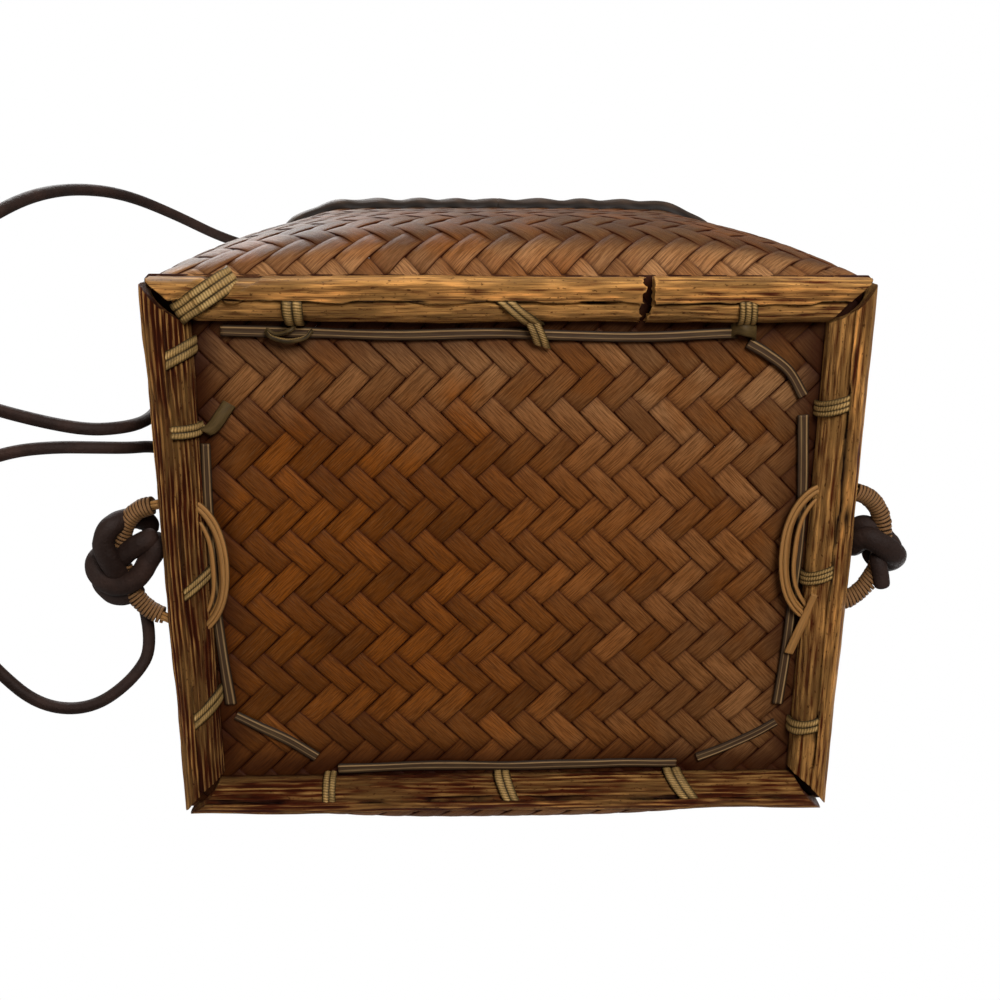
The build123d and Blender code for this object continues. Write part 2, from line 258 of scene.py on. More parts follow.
def pairs(first, second):
    """Two arrays side by side along a new last axis, each spread out to the other's shape."""
    return np.stack(np.broadcast_arrays(first, second), -1)


def travelled(path):
    """Length of the way along a path up to each of its points."""
    return np.concatenate([[0], np.cumsum(np.linalg.norm(np.diff(path, axis=0), axis=1))])


def smooth_path(points, count):
    """A Catmull-Rom curve through points, at count places evenly spread in length."""
    points = np.asarray(points, float)
    ends = np.vstack([2 * points[0] - points[1], points, 2 * points[-1] - points[-2]])
    share = np.linspace(0, 1, 24, endpoint=False)[:, None]
    runs = []
    for p0, p1, p2, p3 in zip(ends, ends[1:], ends[2:], ends[3:]):
        runs.append(
            0.5 * (2 * p1 + (p2 - p0) * share + (2 * p0 - 5 * p1 + 4 * p2 - p3) * share**2
                   + (3 * p1 - p0 - 3 * p2 + p3) * share**3)
        )
    dense = np.vstack([*runs, points[-1:]])
    length = travelled(dense)
    even = np.linspace(0, length[-1], count)
    return np.column_stack([np.interp(even, length, axis) for axis in dense.T]), even


# ---------------------------------------------------------------- meshes

def add_object(name, data):
    """A new object in the scene, around its data."""
    added = bpy.data.objects.new(name, data)
    bpy.context.scene.collection.objects.link(added)
    return added


class Shell:
    """Vertices, faces and point values of one piece, gathered surface by surface."""

    def __init__(self, *value_names):
        self.points, self.faces, self.uvs = [], [], []
        self.values = {name: [] for name in value_names}
        self.count = 0

    def tube(self, rings, uv, closed=False, **values):
        """A closed skin on rings of points, shape (rings, around, 3).

        Each ring's corners join the next ring's by quads, and the two end rings are capped, unless
        the last ring joins the first.
        """
        rows, around = rings.shape[:2]
        index = self.count + np.arange(rows * around).reshape(rows, around)
        if faces_inwards(rings, closed):
            index = index[:, ::-1]
        last = index if closed else index[:-1]
        following = np.roll(index, -1, 0) if closed else index[1:]
        quads = np.stack(
            [last, np.roll(last, -1, 1), np.roll(following, -1, 1), following], -1
        ).reshape(-1, 4)
        self.faces.append(quads)
        if not closed:
            self.faces += [index[:1, ::-1], index[-1:]]
        self.points.append(rings.reshape(-1, 3))
        self.uvs.append(np.broadcast_to(uv, (rows, around, 2)).reshape(-1, 2))
        for name, stored in self.values.items():
            stored.append(np.broadcast_to(values.get(name, 0.0), (rows, around)).reshape(-1))
        self.count += rows * around

    def finish(self, name, material, slot, *nodes):
        """Make the mesh object, give it its finish and let it stand for its frame nodes."""
        mesh = bpy.data.meshes.new(name)
        points = np.vstack(self.points)
        totals = np.concatenate([np.full(len(block), block.shape[1]) for block in self.faces])
        corners = np.concatenate([block.reshape(-1) for block in self.faces])
        mesh.vertices.add(len(points))
        mesh.vertices.foreach_set("co", points.astype(np.float32).reshape(-1))
        mesh.loops.add(len(corners))
        mesh.loops.foreach_set("vertex_index", corners.astype(np.int32))
        mesh.polygons.add(len(totals))
        starts = np.concatenate([[0], np.cumsum(totals)[:-1]])
        mesh.polygons.foreach_set("loop_start", starts.astype(np.int32))
        mesh.polygons.foreach_set("use_smooth", totals == 4)
        layer = mesh.uv_layers.new(name="along_across")
        layer.data.foreach_set("uv", np.vstack(self.uvs)[corners].astype(np.float32).reshape(-1))
        for key, stored in self.values.items():
            attribute = mesh.attributes.new(key, "FLOAT", "POINT")
            attribute.data.foreach_set("value", np.concatenate(stored).astype(np.float32))
        mesh.update(calc_edges=True)
        mesh.validate()
        piece = add_object(name, mesh)
        mesh.materials.append(material)
        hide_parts(*nodes)
        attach(piece, "root")
        return piece


def faces_inwards(rings, closed):
    """True where quads in the rings' own order would face inwards, by the sign of their volume."""
    centre = rings.mean((0, 1))
    follow = np.roll(rings, -1, 0) if closed else rings[1:]
    here = rings if closed else rings[:-1]
    a, b, c = here - centre, np.roll(here, -1, 1) - centre, follow - centre
    return np.einsum("ijk,ijk->", a, np.cross(b, c)) < 0


def ribbon(path, across, upward, section):
    """Rings of a flat section carried along a path.

    A point is the path's point plus the section's first number times the across vector, plus its
    second number times the upward vector. The section is one outline, or one for every place.
    """
    if section.ndim == 2:
        section = section[None]
    upward = np.broadcast_to(upward, path.shape)[:, None]
    return path[:, None] + section[..., :1] * across[:, None] + section[..., 1:] * upward


def path_frames(path):
    """Vectors across and above a path: across is the path's direction crossed with up."""
    along = unit(np.gradient(path, axis=0))
    across = unit(np.cross(along, UP))
    return across, np.cross(across, along)


def oval(turn, radius, squash=1.0):
    """Points of a circle at some turns, squashed in its second direction."""
    return pairs(np.cos(turn) * radius, np.sin(turn) * radius * squash)


def flat_section(width, thickness):
    """Outline of a thin strip with a slight crown and rounded edges, and its place across."""
    across = np.array([-1, -0.92, -0.45, 0, 0.45, 0.92, 1, 0.92, 0, -0.92])
    height = np.array([0, 0.86, 0.98, 1, 0.98, 0.86, 0, -0.9, -1, -0.9])
    return pairs(across * width / 2, height * thickness / 2), across


# ---------------------------------------------------------------- shader maths

class Socket:
    """A node's output, with arithmetic that adds Math nodes."""

    def __init__(self, finish, link):
        self.finish, self.link = finish, link

    def __add__(self, other):
        return self.finish.maths("ADD", self, other)

    def __sub__(self, other):
        return self.finish.maths("SUBTRACT", self, other)

    def __rsub__(self, other):
        return self.finish.maths("SUBTRACT", other, self)

    def __mul__(self, other):
        return self.finish.maths("MULTIPLY", self, other)

    def __pow__(self, other):
        return self.finish.maths("POWER", self, other)

    __radd__, __rmul__ = __add__, __mul__


class Finish:
    """One material's nodes."""

    def __init__(self, name, **constants):
        self.material = bpy.data.materials.new(name)
        self.material.use_nodes = True
        self.tree = self.material.node_tree
        self.tree.nodes.clear()
        self.shader = self.tree.nodes.new("ShaderNodeBsdfPrincipled")
        output = self.tree.nodes.new("ShaderNodeOutputMaterial")
        self.tree.links.new(self.shader.outputs[0], output.inputs[0])
        for socket, value in constants.items():
            self.shader.inputs[socket.replace("_", " ")].default_value = value

    def feed(self, socket, value):
        """Put a value or a link into a node's socket."""
        if isinstance(value, Socket):
            self.tree.links.new(value.link, socket)
        elif socket.type == "RGBA" and len(value) == 3:
            socket.default_value = (*value, 1.0)
        else:
            socket.default_value = value

    def node(self, kind, settings=None, inputs=None, output=0):
        """Add a node: its settings are set first, then its sockets' values or links."""
        node = self.tree.nodes.new(kind)
        for key, value in (settings or {}).items():
            if key == "stops":
                elements = node.color_ramp.elements
                while len(elements) < len(value):
                    elements.new(0.5)
                for element, (position, colour) in zip(elements, value):
                    element.position = position
                    element.color = (*colour, 1.0)
            else:
                setattr(node, key, value)
        for key, value in (inputs or {}).items():
            self.feed(node.inputs[key], value)
        return Socket(self, node.outputs[output])

    def maths(self, operation, first, second, clamp=False):
        return self.node(
            "ShaderNodeMath", {"operation": operation, "use_clamp": clamp}, {0: first, 1: second}
        )

    def clamp(self, value):
        return self.maths("ADD", value, 0.0, clamp=True)

    def mix(self, share, first, second):
        """Blend two colours by a share."""
        return self.node(
            "ShaderNodeMix", {"data_type": "RGBA", "clamp_factor": True},
            {0: share, 6: first, 7: second}, 2,
        )

    def value(self, name):
        """A value kept at the mesh's points."""
        return self.node("ShaderNodeAttribute", {"attribute_name": name}, output="Fac")

    def own_map(self):
        """The piece's own map: metres along it, and its place across it."""
        return self.node("ShaderNodeUVMap", {"uv_map": "along_across"})

    def object_place(self):
        return self.node("ShaderNodeTexCoord", output="Object")

    def axis(self, vector, letter):
        return self.node("ShaderNodeSeparateXYZ", None, {0: vector}, letter)

    def noise(self, vector, scale, detail=3.0, roughness=0.55):
        return self.node(
            "ShaderNodeTexNoise", None,
            {"Vector": vector, "Scale": scale, "Detail": detail, "Roughness": roughness},
        )

    def grain(self, along, across, tone, detail=3.0, roughness=0.55, scale=1.0):
        """Noise on the piece's own map, stretched along and across, and moved on by the tone."""
        stretched = self.node(
            "ShaderNodeVectorMath", {"operation": "MULTIPLY"},
            {0: self.own_map(), 1: (along, across, 1.0)},
        )
        shift = {"X": tone * 7.3, "Y": tone * 3.1, "Z": tone}
        move = self.node("ShaderNodeCombineXYZ", None, shift)
        place = self.node("ShaderNodeVectorMath", {"operation": "ADD"}, {0: stretched, 1: move})
        return self.noise(place, scale, detail, roughness)

    def shades(self, value, *stops):
        """Colours blended along a value, from stops of a value and a colour."""
        return self.node("ShaderNodeValToRGB", {"stops": stops}, {"Fac": value})

    def band(self, value, low, high):
        """0 where value is at or below low, 1 at or above high."""
        return self.node(
            "ShaderNodeMapRange", {"interpolation_type": "SMOOTHSTEP"},
            {"Value": value, "From Min": low, "From Max": high},
        )

    def surface(self, colour, roughness, height, depth):
        """Join colour, roughness and relief to the shader, and hand back the material."""
        relief = {"Height": height, "Distance": depth, "Strength": 1.0}
        bump = self.node("ShaderNodeBump", None, relief)
        for socket, value in (("Base Color", colour), ("Roughness", roughness), ("Normal", bump)):
            self.feed(self.shader.inputs[socket], value)
        return self.material


def scaled(colour, share):
    """A colour made darker or lighter."""
    return tuple(min(1.0, channel * share) for channel in colour)


def woven_cane(colour, gap_shade_colour):
    """Varnished flat cane: fine grain along each strip, tone by strip, painted shade at the edges,
    dips and rails, random soil, a paler tone that is partly dust and partly a painted sheen, and
    painted shade on the wall.
    """
    finish = Finish("woven_cane", Specular_IOR_Level=0.06)
    tone, dip, soil = finish.value("tone"), finish.value("dip"), finish.value("soil")
    grain = finish.grain(60, 5.5, tone, 4.0, 0.65, 2.2)
    fibre = finish.grain(110, 24, tone, 2.0, 0.5, 1.6)
    place = finish.object_place()
    stain = finish.noise(place, 38.0)
    along, depth, height = (finish.axis(place, letter) for letter in "XYZ")
    drift = (stain - 0.5) * 0.1
    on_wall = finish.band(height, 0.012, 0.02)
    # a paler, greyer tone towards the base's right, front and back, and over the whole wall: partly
    # dust on the cane, partly a painted sheen of the key light on the varnish
    dust_and_sheen = finish.clamp(
        finish.band(along + drift * 1.2, -0.05, 0.14) * 0.85
        + finish.band(0.0 - depth + drift, 0.025, 0.085)
        + on_wall
        + finish.band(depth + drift, 0.04, 0.13) * 0.5
    )
    light = finish.mix(finish.band(tone, 0.0, 1.0), scaled(colour, 0.6), scaled(colour, 1.5))
    # colour of that tone: partly dust, partly painted sheen
    dust_and_sheen_colour = finish.mix(tone, (0.115, 0.050, 0.017), (0.290, 0.145, 0.058))
    # painted shade on the wall: the wall's strips are darkened most of the way to near black
    wall_shaded = finish.mix(on_wall * 0.8, finish.mix(dust_and_sheen, light, dust_and_sheen_colour), (0.015, 0.006, 0.002))
    warm = finish.mix(finish.band(stain, 0.4, 0.66) * 0.6, wall_shaded, (0.15, 0.042, 0.003))
    grained = finish.mix(finish.band(grain, 0.36, 0.66) * 0.75, warm, scaled(colour, 0.3))
    fibred = finish.mix(finish.band(fibre, 0.52, 0.72) * 0.4, grained, (0.20, 0.098, 0.036))
    across = finish.axis(finish.own_map(), "Y")
    # painted shade between the strips: each strip darkens towards its edges and where it dips under
    # the crossing strips
    edge = finish.band(across * across, 0.62, 0.95)
    low = finish.clamp(edge * 0.55 + dip * 0.9)
    gap_shaded = finish.mix(low, fibred, gap_shade_colour)
    # the value read here darkens the cane: random soil everywhere, and painted shade near the rails
    soiled_and_shaded = finish.mix(finish.clamp(soil), gap_shaded, scaled(gap_shade_colour, 0.7))
    return finish.surface(soiled_and_shaded, 0.42 + grain * 0.25, grain * 0.7 + fibre * 0.5, 0.25 * MM)


def rail_cane(light, dark):
    """Split cane: golden ridges and stained grooves from the ridge value, with fine long fibres,
    and painted shade in the cracks.
    """
    finish = Finish("rail_cane", Specular_IOR_Level=0.07)
    ridge, crack, tone = finish.value("ridge"), finish.value("crack"), finish.value("tone")
    fibre = finish.grain(70, 5200, tone, 5.0, 0.7)
    patch = finish.grain(28, 180, tone)
    speck = finish.grain(420, 900, tone, 2.0, 0.6)
    scratch = finish.grain(38, 2600, tone, 2.0, 0.5)
    level = finish.clamp(ridge + fibre * 1.3 - 0.65)
    shades = finish.shades(
        level, (0.12, dark), (0.42, scaled(dark, 2.6)), (0.66, scaled(light, 0.55)), (0.95, light)
    )
    toned = finish.mix(finish.band(patch, 0.45, 0.62) * 0.7, shades, scaled(light, 0.32))
    greyed = finish.mix(finish.band(tone, 0.5, 1.0) * 0.55, toned, (0.23, 0.17, 0.12))
    scratched = finish.mix(finish.band(scratch, 0.58, 0.66) * 0.75, greyed, scaled(dark, 1.4))
    specked = finish.mix(finish.band(speck, 0.60, 0.70) * 0.7, scratched, dark)
    # painted shade in the cracks: the crack value darkens them to a quarter of the groove colour,
    # and the knot's dent is darkened the same way
    cracked = finish.mix(finish.clamp(crack), specked, scaled(dark, 0.25))
    return finish.surface(cracked, 0.5 + fibre * 0.25, level + fibre * 0.8, 0.6 * MM)


def lashing_cane(colour):
    """Ribbed lashing band: pale rib tops, and painted shade as dark lines between the rows and on
    the underside, from the rib value.
    """
    finish = Finish("lashing_cane", Specular_IOR_Level=0.12)
    rib, tone = finish.value("rib"), finish.value("tone")
    fibre = finish.grain(300, 10, tone)
    patch = finish.grain(160, 2.0, tone, 2.0)
    # painted shade: a low rib value, in the creases between the rows and on the underside, gives a
    # colour near black
    shades = finish.shades(
        rib + fibre * 0.4 - 0.2, (0.05, scaled(colour, 0.07)), (0.35, scaled(colour, 0.38)),
        (0.62, scaled(colour, 0.85)), (0.95, (0.36, 0.23, 0.09)),
    )
    worn = finish.mix(finish.band(patch, 0.45, 0.72) * 0.6, shades, scaled(colour, 0.3))
    return finish.surface(worn, 0.45 + fibre * 0.2, rib + fibre * 0.5, 0.2 * MM)


def streaked_cane(name, colour, pale):
    """Flat or round cane with long streaks between a colour and a paler one, and painted shade
    darkening its edges.
    """
    finish = Finish(name, Specular_IOR_Level=0.12)
    tone, ridge = finish.value("tone"), finish.value("ridge")
    streak = finish.grain(50, 5, tone, 4.0, 0.6)
    fleck = finish.grain(260, 9, tone, 2.0)
    streaked = finish.mix(finish.band(streak, 0.4, 0.68), colour, scaled(colour, 0.35))
    lined = finish.mix(finish.clamp(ridge * 0.9 + (streak - 0.5)), streaked, pale)
    flecked = finish.mix(finish.band(fleck, 0.6, 0.74) * 0.5, lined, scaled(colour, 0.2))
    across = finish.axis(finish.own_map(), "Y")
    # painted shade where a strip or strand meets its neighbours: darker towards its edges
    edge = finish.band(across * across, 0.4, 0.9) * 0.8
    edge_shaded = finish.mix(edge, flecked, scaled(colour, 0.12))
    return finish.surface(edge_shaded, 0.45 + streak * 0.25, streak + ridge * 0.5, 0.25 * MM)


def strap_leather(colour):
    """Dark leather with a close grain, dry patches and a low gloss."""
    finish = Finish("leather", Specular_IOR_Level=0.12)
    place = finish.object_place()
    grain = finish.noise(place, 900.0, 3.0, 0.6)
    crease = finish.noise(place, 170.0, 2.0)
    dry = finish.noise(place, 55.0)
    worn = finish.mix(finish.band(dry, 0.42, 0.7), colour, scaled(colour, 1.9))
    grained = finish.mix(finish.band(grain, 0.56, 0.72) * 0.4, worn, scaled(colour, 0.45))
    return finish.surface(grained, 0.55 + dry * 0.25, grain * 0.6 + crease, 0.5 * MM)


# ---------------------------------------------------------------- woven body

def wave(row):
    """Height of a strip along its own middle, from -1 to 1: over for two rows, under for two.

    It is a cosine of the row with its top and bottom flattened, by dividing it by the root of its
    own square plus a constant.
    """
    raw = np.cos(np.pi / 2 * (row - 0.5))
    return raw / np.sqrt(raw**2 + 0.35) * np.sqrt(1.35)


def strip_values(height, faces_out, number, kind):
    """Tone of a strip from its number, and how sunk each point of its section lies.

    Height is where the strip runs, from -1 to 1 outwards, and faces_out is 1 for points on the
    strip's outer side and -1 for those on its inner side, where high and low change places.
    """
    tones = np.random.default_rng(40 + kind).uniform(0, 1, 400)
    return tones[number % 400], step_between(-height * faces_out, -0.6, 0.5)


def base_strips(shell, weave, kind):
    """Strips of one direction across the base, clipped to the base's rectangle.

    In half cells, strip number n of kind 1 runs along x + y = 2n and one of kind -1 along
    x - y = 2n. A strip's height is its lift times the wave of its row, with kind's sign.
    """
    cell = weave.half_cell
    reach_x = (HALF_LENGTH + 0.2 * MM) / cell
    low_y, high_y = (-HALF_DEPTH - 0.6 * MM) / cell, (HALF_DEPTH + 0.3 * MM) / cell
    shift = BASE_SHIFT / cell
    section, across_share = flat_section(weave.strip_width * cell * np.sqrt(2), weave.thickness)
    offset = section[:, 0] / (cell * np.sqrt(2))  # the same step in x and, times kind, in y
    middle = RAIL_HEIGHT + weave.lift + weave.thickness / 2 + 0.05 * MM
    corner_cut, shortest, lines_per_cell = 0.7, 0.5, 6
    diagonal = reach_x + high_y - corner_cut  # how far x + y or x - y may go
    highest = int(diagonal / 2)
    for number in range(-highest, highest + 1):
        # each line of the strip runs along x = 2n - kind * (y - shift), from border to border
        lines = [kind * (2 * number + offset - side * reach_x) for side in (-1, 1)]
        first = np.maximum(low_y - shift - kind * offset, np.minimum(*lines))
        last = np.minimum(high_y - shift - kind * offset, np.maximum(*lines))
        first = np.maximum(first, kind * number - diagonal / 2)
        last = np.minimum(last, kind * number + diagonal / 2)
        last = np.maximum(last, first + 0.02)
        longest = (last - first).max()
        if longest < shortest:
            continue
        share = np.linspace(0, 1, max(4, int(longest * lines_per_cell)))[:, None]
        y = first + (last - first) * share
        drift = 0.015 * wander(y, 300 + number + 100 * kind, 3.5) * np.sin(np.pi * share)
        height = kind * wave(y - 1)
        x_place = 2 * number - kind * y + offset + drift
        y_place = y + shift + kind * offset
        sag = BASE_SAG * wander(x_place, 77, 9) * wander(y_place, 78, 9)
        z = middle - height * weave.lift + sag - section[:, 1]
        rings = np.stack([x_place * cell, y_place * cell, z], -1)
        tone, dip = strip_values(height, np.sign(section[:, 1]), number + 150, kind)
        rim = np.minimum(reach_x - np.abs(x_place), high_y - np.abs(y_place)) * cell
        # painted shade near the rails, fading out from the base's border, then random soil on top
        soil = 0.9 * (1 - step_between(rim, RAIL_SHADE_FULL, RAIL_SHADE_CLEAR))
        soil = soil + 0.16 * rough(x_place, y_place, 5, 5, 4)
        along = (y - first.min()) * cell * np.sqrt(2)
        shell.tube(rings, pairs(along + number * 0.37, across_share), tone=tone, dip=dip, soil=soil)


def wall_outline(share, count):
    """The wall's outline a share of the way up, as count points from the front's middle.

    A rectangle with rounded corners is walked at even steps. Then the front and back swell by the
    belly times one minus the cube of the place along them, and the ends by a smaller belly times
    one minus its square. The belly is the sine of a power of the share. The length eases from the
    base's to the mouth's by an S-shaped rise, the depth by the share's square, and the corners'
    radius evenly.
    """
    ease, late = step_between(share, 0, 1), share**2
    belly = np.sin(np.pi * share**BELLY_SKEW)
    half_x = HALF_LENGTH + (MOUTH_HALF_LENGTH - HALF_LENGTH) * ease
    half_y = HALF_DEPTH + (MOUTH_HALF_DEPTH - HALF_DEPTH) * late
    radius = BASE_CORNER + (MOUTH_CORNER - BASE_CORNER) * share
    straight_x, straight_y, turn = half_x - radius, half_y - radius, radius * np.pi / 2
    quarter = straight_x + straight_y + turn
    walk = np.arange(count) * 4 * quarter / count
    lap = np.floor(walk / quarter).astype(int)
    local = walk - lap * quarter
    local = np.where(lap % 2, quarter - local, local)
    angle = np.clip((local - straight_x) / radius, 0, np.pi / 2)
    x = np.minimum(local, straight_x) + radius * np.sin(angle)
    y = straight_y + radius * np.cos(angle) - np.maximum(local - straight_x - turn, 0)
    swell = SIDE_SWELL * min(1.0, 12 * share)  # nothing at the base itself
    y = y + (swell + BELLY * belly) * (1 - (x / half_x) ** 3)
    x = x + (swell + END_BELLY * belly) * np.maximum(0, 1 - (y / half_y) ** 2)
    sign_x = np.where((lap == 0) | (lap == 1), 1, -1)
    sign_y = np.where((lap == 0) | (lap == 3), -1, 1)
    height = RAIL_HEIGHT + share * (WALL_TOP - RAIL_HEIGHT)
    return np.stack([sign_x * x, sign_y * y, np.full(count, height)], -1)


class WallMap:
    """Points and outward directions of the wall, by place around it and place up it.

    Rows lie at even steps of the mean of two climbs: the share of its own way up that a column has
    covered, and the same share averaged over all columns.
    """

    def __init__(self, columns=720, rows=160, levels=400):
        shares = np.linspace(0, 1, levels) ** 2
        dense = np.stack([wall_outline(share, columns) for share in shares])
        steps = np.linalg.norm(np.diff(dense, axis=0), axis=2)
        climb = np.vstack([np.zeros(columns), np.cumsum(steps, 0)])
        climb /= climb[-1]
        climb = (climb + climb.mean(1, keepdims=True)) / 2
        table = np.empty((rows, columns, 3))
        even = np.linspace(0, 1, rows)
        for column in range(columns):
            places = np.interp(even, climb[:, column], np.arange(levels))
            whole = np.minimum(places.astype(int), levels - 2)
            part = (places - whole)[:, None]
            table[:, column] = dense[whole, column] * (1 - part) + dense[whole + 1, column] * part
        around = np.roll(table, -1, 1) - np.roll(table, 1, 1)
        upward = np.gradient(table, axis=0)
        self.points = table
        self.normals = unit(np.cross(around, upward))

    def at(self, around, up):
        """Point, outward direction at shares around (any number) and up (0 to 1)."""
        rows, columns = self.points.shape[:2]
        column, row = around % 1 * columns, np.clip(up, 0, 1) * (rows - 1)
        c, r = np.floor(column).astype(int), np.minimum(np.floor(row).astype(int), rows - 2)
        a, b = (column - c)[..., None], (row - r)[..., None]
        c, after = c % columns, (c + 1) % columns

        def blend(table):
            low = table[r, c] * (1 - a) + table[r, after] * a
            high = table[r + 1, c] * (1 - a) + table[r + 1, after] * a
            return low * (1 - b) + high * b

        return blend(self.points), unit(blend(self.normals))


def wall_strips(shell, weave, wall, kind):
    """Strips of one direction up the wall, each a slanting line in the wall's own map.

    Strip n passes the place 2n + kind * row around the wall at each row, in half cells. It is
    lifted along the wall's outward direction by the wave of its row, with kind's sign.
    """
    strips, rows = weave.wall_strips, weave.wall_rows
    around_cells = 2 * strips
    row = np.linspace(-1.2, rows - 0.3, rows * 4)
    section, across_share = flat_section(1.0, weave.thickness)
    heights = section[:, 1]
    for number in range(strips):
        place = 2 * number - kind * row + 0.06 * wander(row, 600 + number + 90 * kind, 3)
        height = -kind * wave(row - 1)[:, None]
        half_width = weave.strip_width / 2
        # across the strip, the row and the place move together at right angles to its run
        r = row[:, None] + half_width * across_share
        p = place[:, None] + kind * half_width * across_share
        points, normals = wall.at(p / around_cells, r / rows)
        sink = weave.lift + weave.thickness / 2 + 0.1 * MM
        lift = height * weave.lift - sink + heights
        rings = points + normals * lift[..., None]
        tone, dip = strip_values(height, np.sign(heights), number + 20, kind)
        along = travelled(rings.mean(1))[:, None]
        uv = pairs(along + number * 0.41, across_share)
        # on the wall this value holds random soil only, with no painted shade
        soil = 0.15 * rough(place, row, 8, 7, 5)[:, None]
        shell.tube(rings, uv, tone=tone, dip=dip, soil=soil)


# ---------------------------------------------------------------- rails

RAIL_CRACK = 0.51  # where the two halves of a rail meet, as a share of its width
RAIL_LIFT = 1.5 * MM  # how far the inner half's edge lies above the foot
RAIL_STEP = 0.7 * MM
CRACK_WIDTH, CRACK_DEPTH = 0.42 * MM, 2.2 * MM
LIP_WIDTH, LIP_HEIGHT = 1.5 * MM, 0.7 * MM
KNOT_LENGTH, KNOT_WIDTH, KNOT_DEPTH = 4 * MM, 1.6 * MM, 0.8 * MM
SEAT_INNER, SEAT_OUTER, SEAT_DEPTH = 4.4 * MM, 5.6 * MM, 1.3 * MM


def rail_profile(width):
    """Outline of a split cane, as places across it and heights, and how many of them are seen.

    From the top of its outer side it goes down, round the outer edge, along the foot and up round
    the inner half. Unseen, it comes back over the two lands and the trough between them.
    """
    radius, trough = 5 * MM, 4.9 * MM * width / (15 * MM)
    middle = width * RAIL_CRACK
    inner = width - middle
    turn, swing = np.linspace(0, np.pi / 2, 16), np.linspace(0, np.pi / 2, 24)
    inner_top = min(RAIL_LIFT + inner, RAIL_HEIGHT - 0.3 * MM)
    seen = np.vstack([
        pairs(0.0, np.linspace(RAIL_HEIGHT, radius, 5, endpoint=False)),
        pairs(radius - radius * np.cos(turn), radius - radius * np.sin(turn)),
        pairs(np.linspace(radius, middle, 7)[1:], 0.0),
        pairs(middle + inner * np.sin(swing),
              RAIL_LIFT + (inner_top - RAIL_LIFT) * (1 - np.cos(swing))),
    ])
    hollow = np.linspace(0, np.pi, 11)
    above = pairs(
        np.concatenate([[width, width / 2 + trough], width / 2 + trough * np.cos(hollow),
                        [width / 2 - trough]]),
        np.concatenate([[RAIL_HEIGHT] * 2, RAIL_HEIGHT - 1 * MM - trough * np.sin(hollow),
                        [RAIL_HEIGHT]]),
    )
    return np.vstack([seen, above]), len(seen)


def on_side(side, s, u, z):
    """Points on one side of the base: s along it, u inwards from its outer line, z up."""
    origin, s_axis, u_axis = side
    return origin + s[..., None] * s_axis + u[..., None] * u_axis + z[..., None] * UP


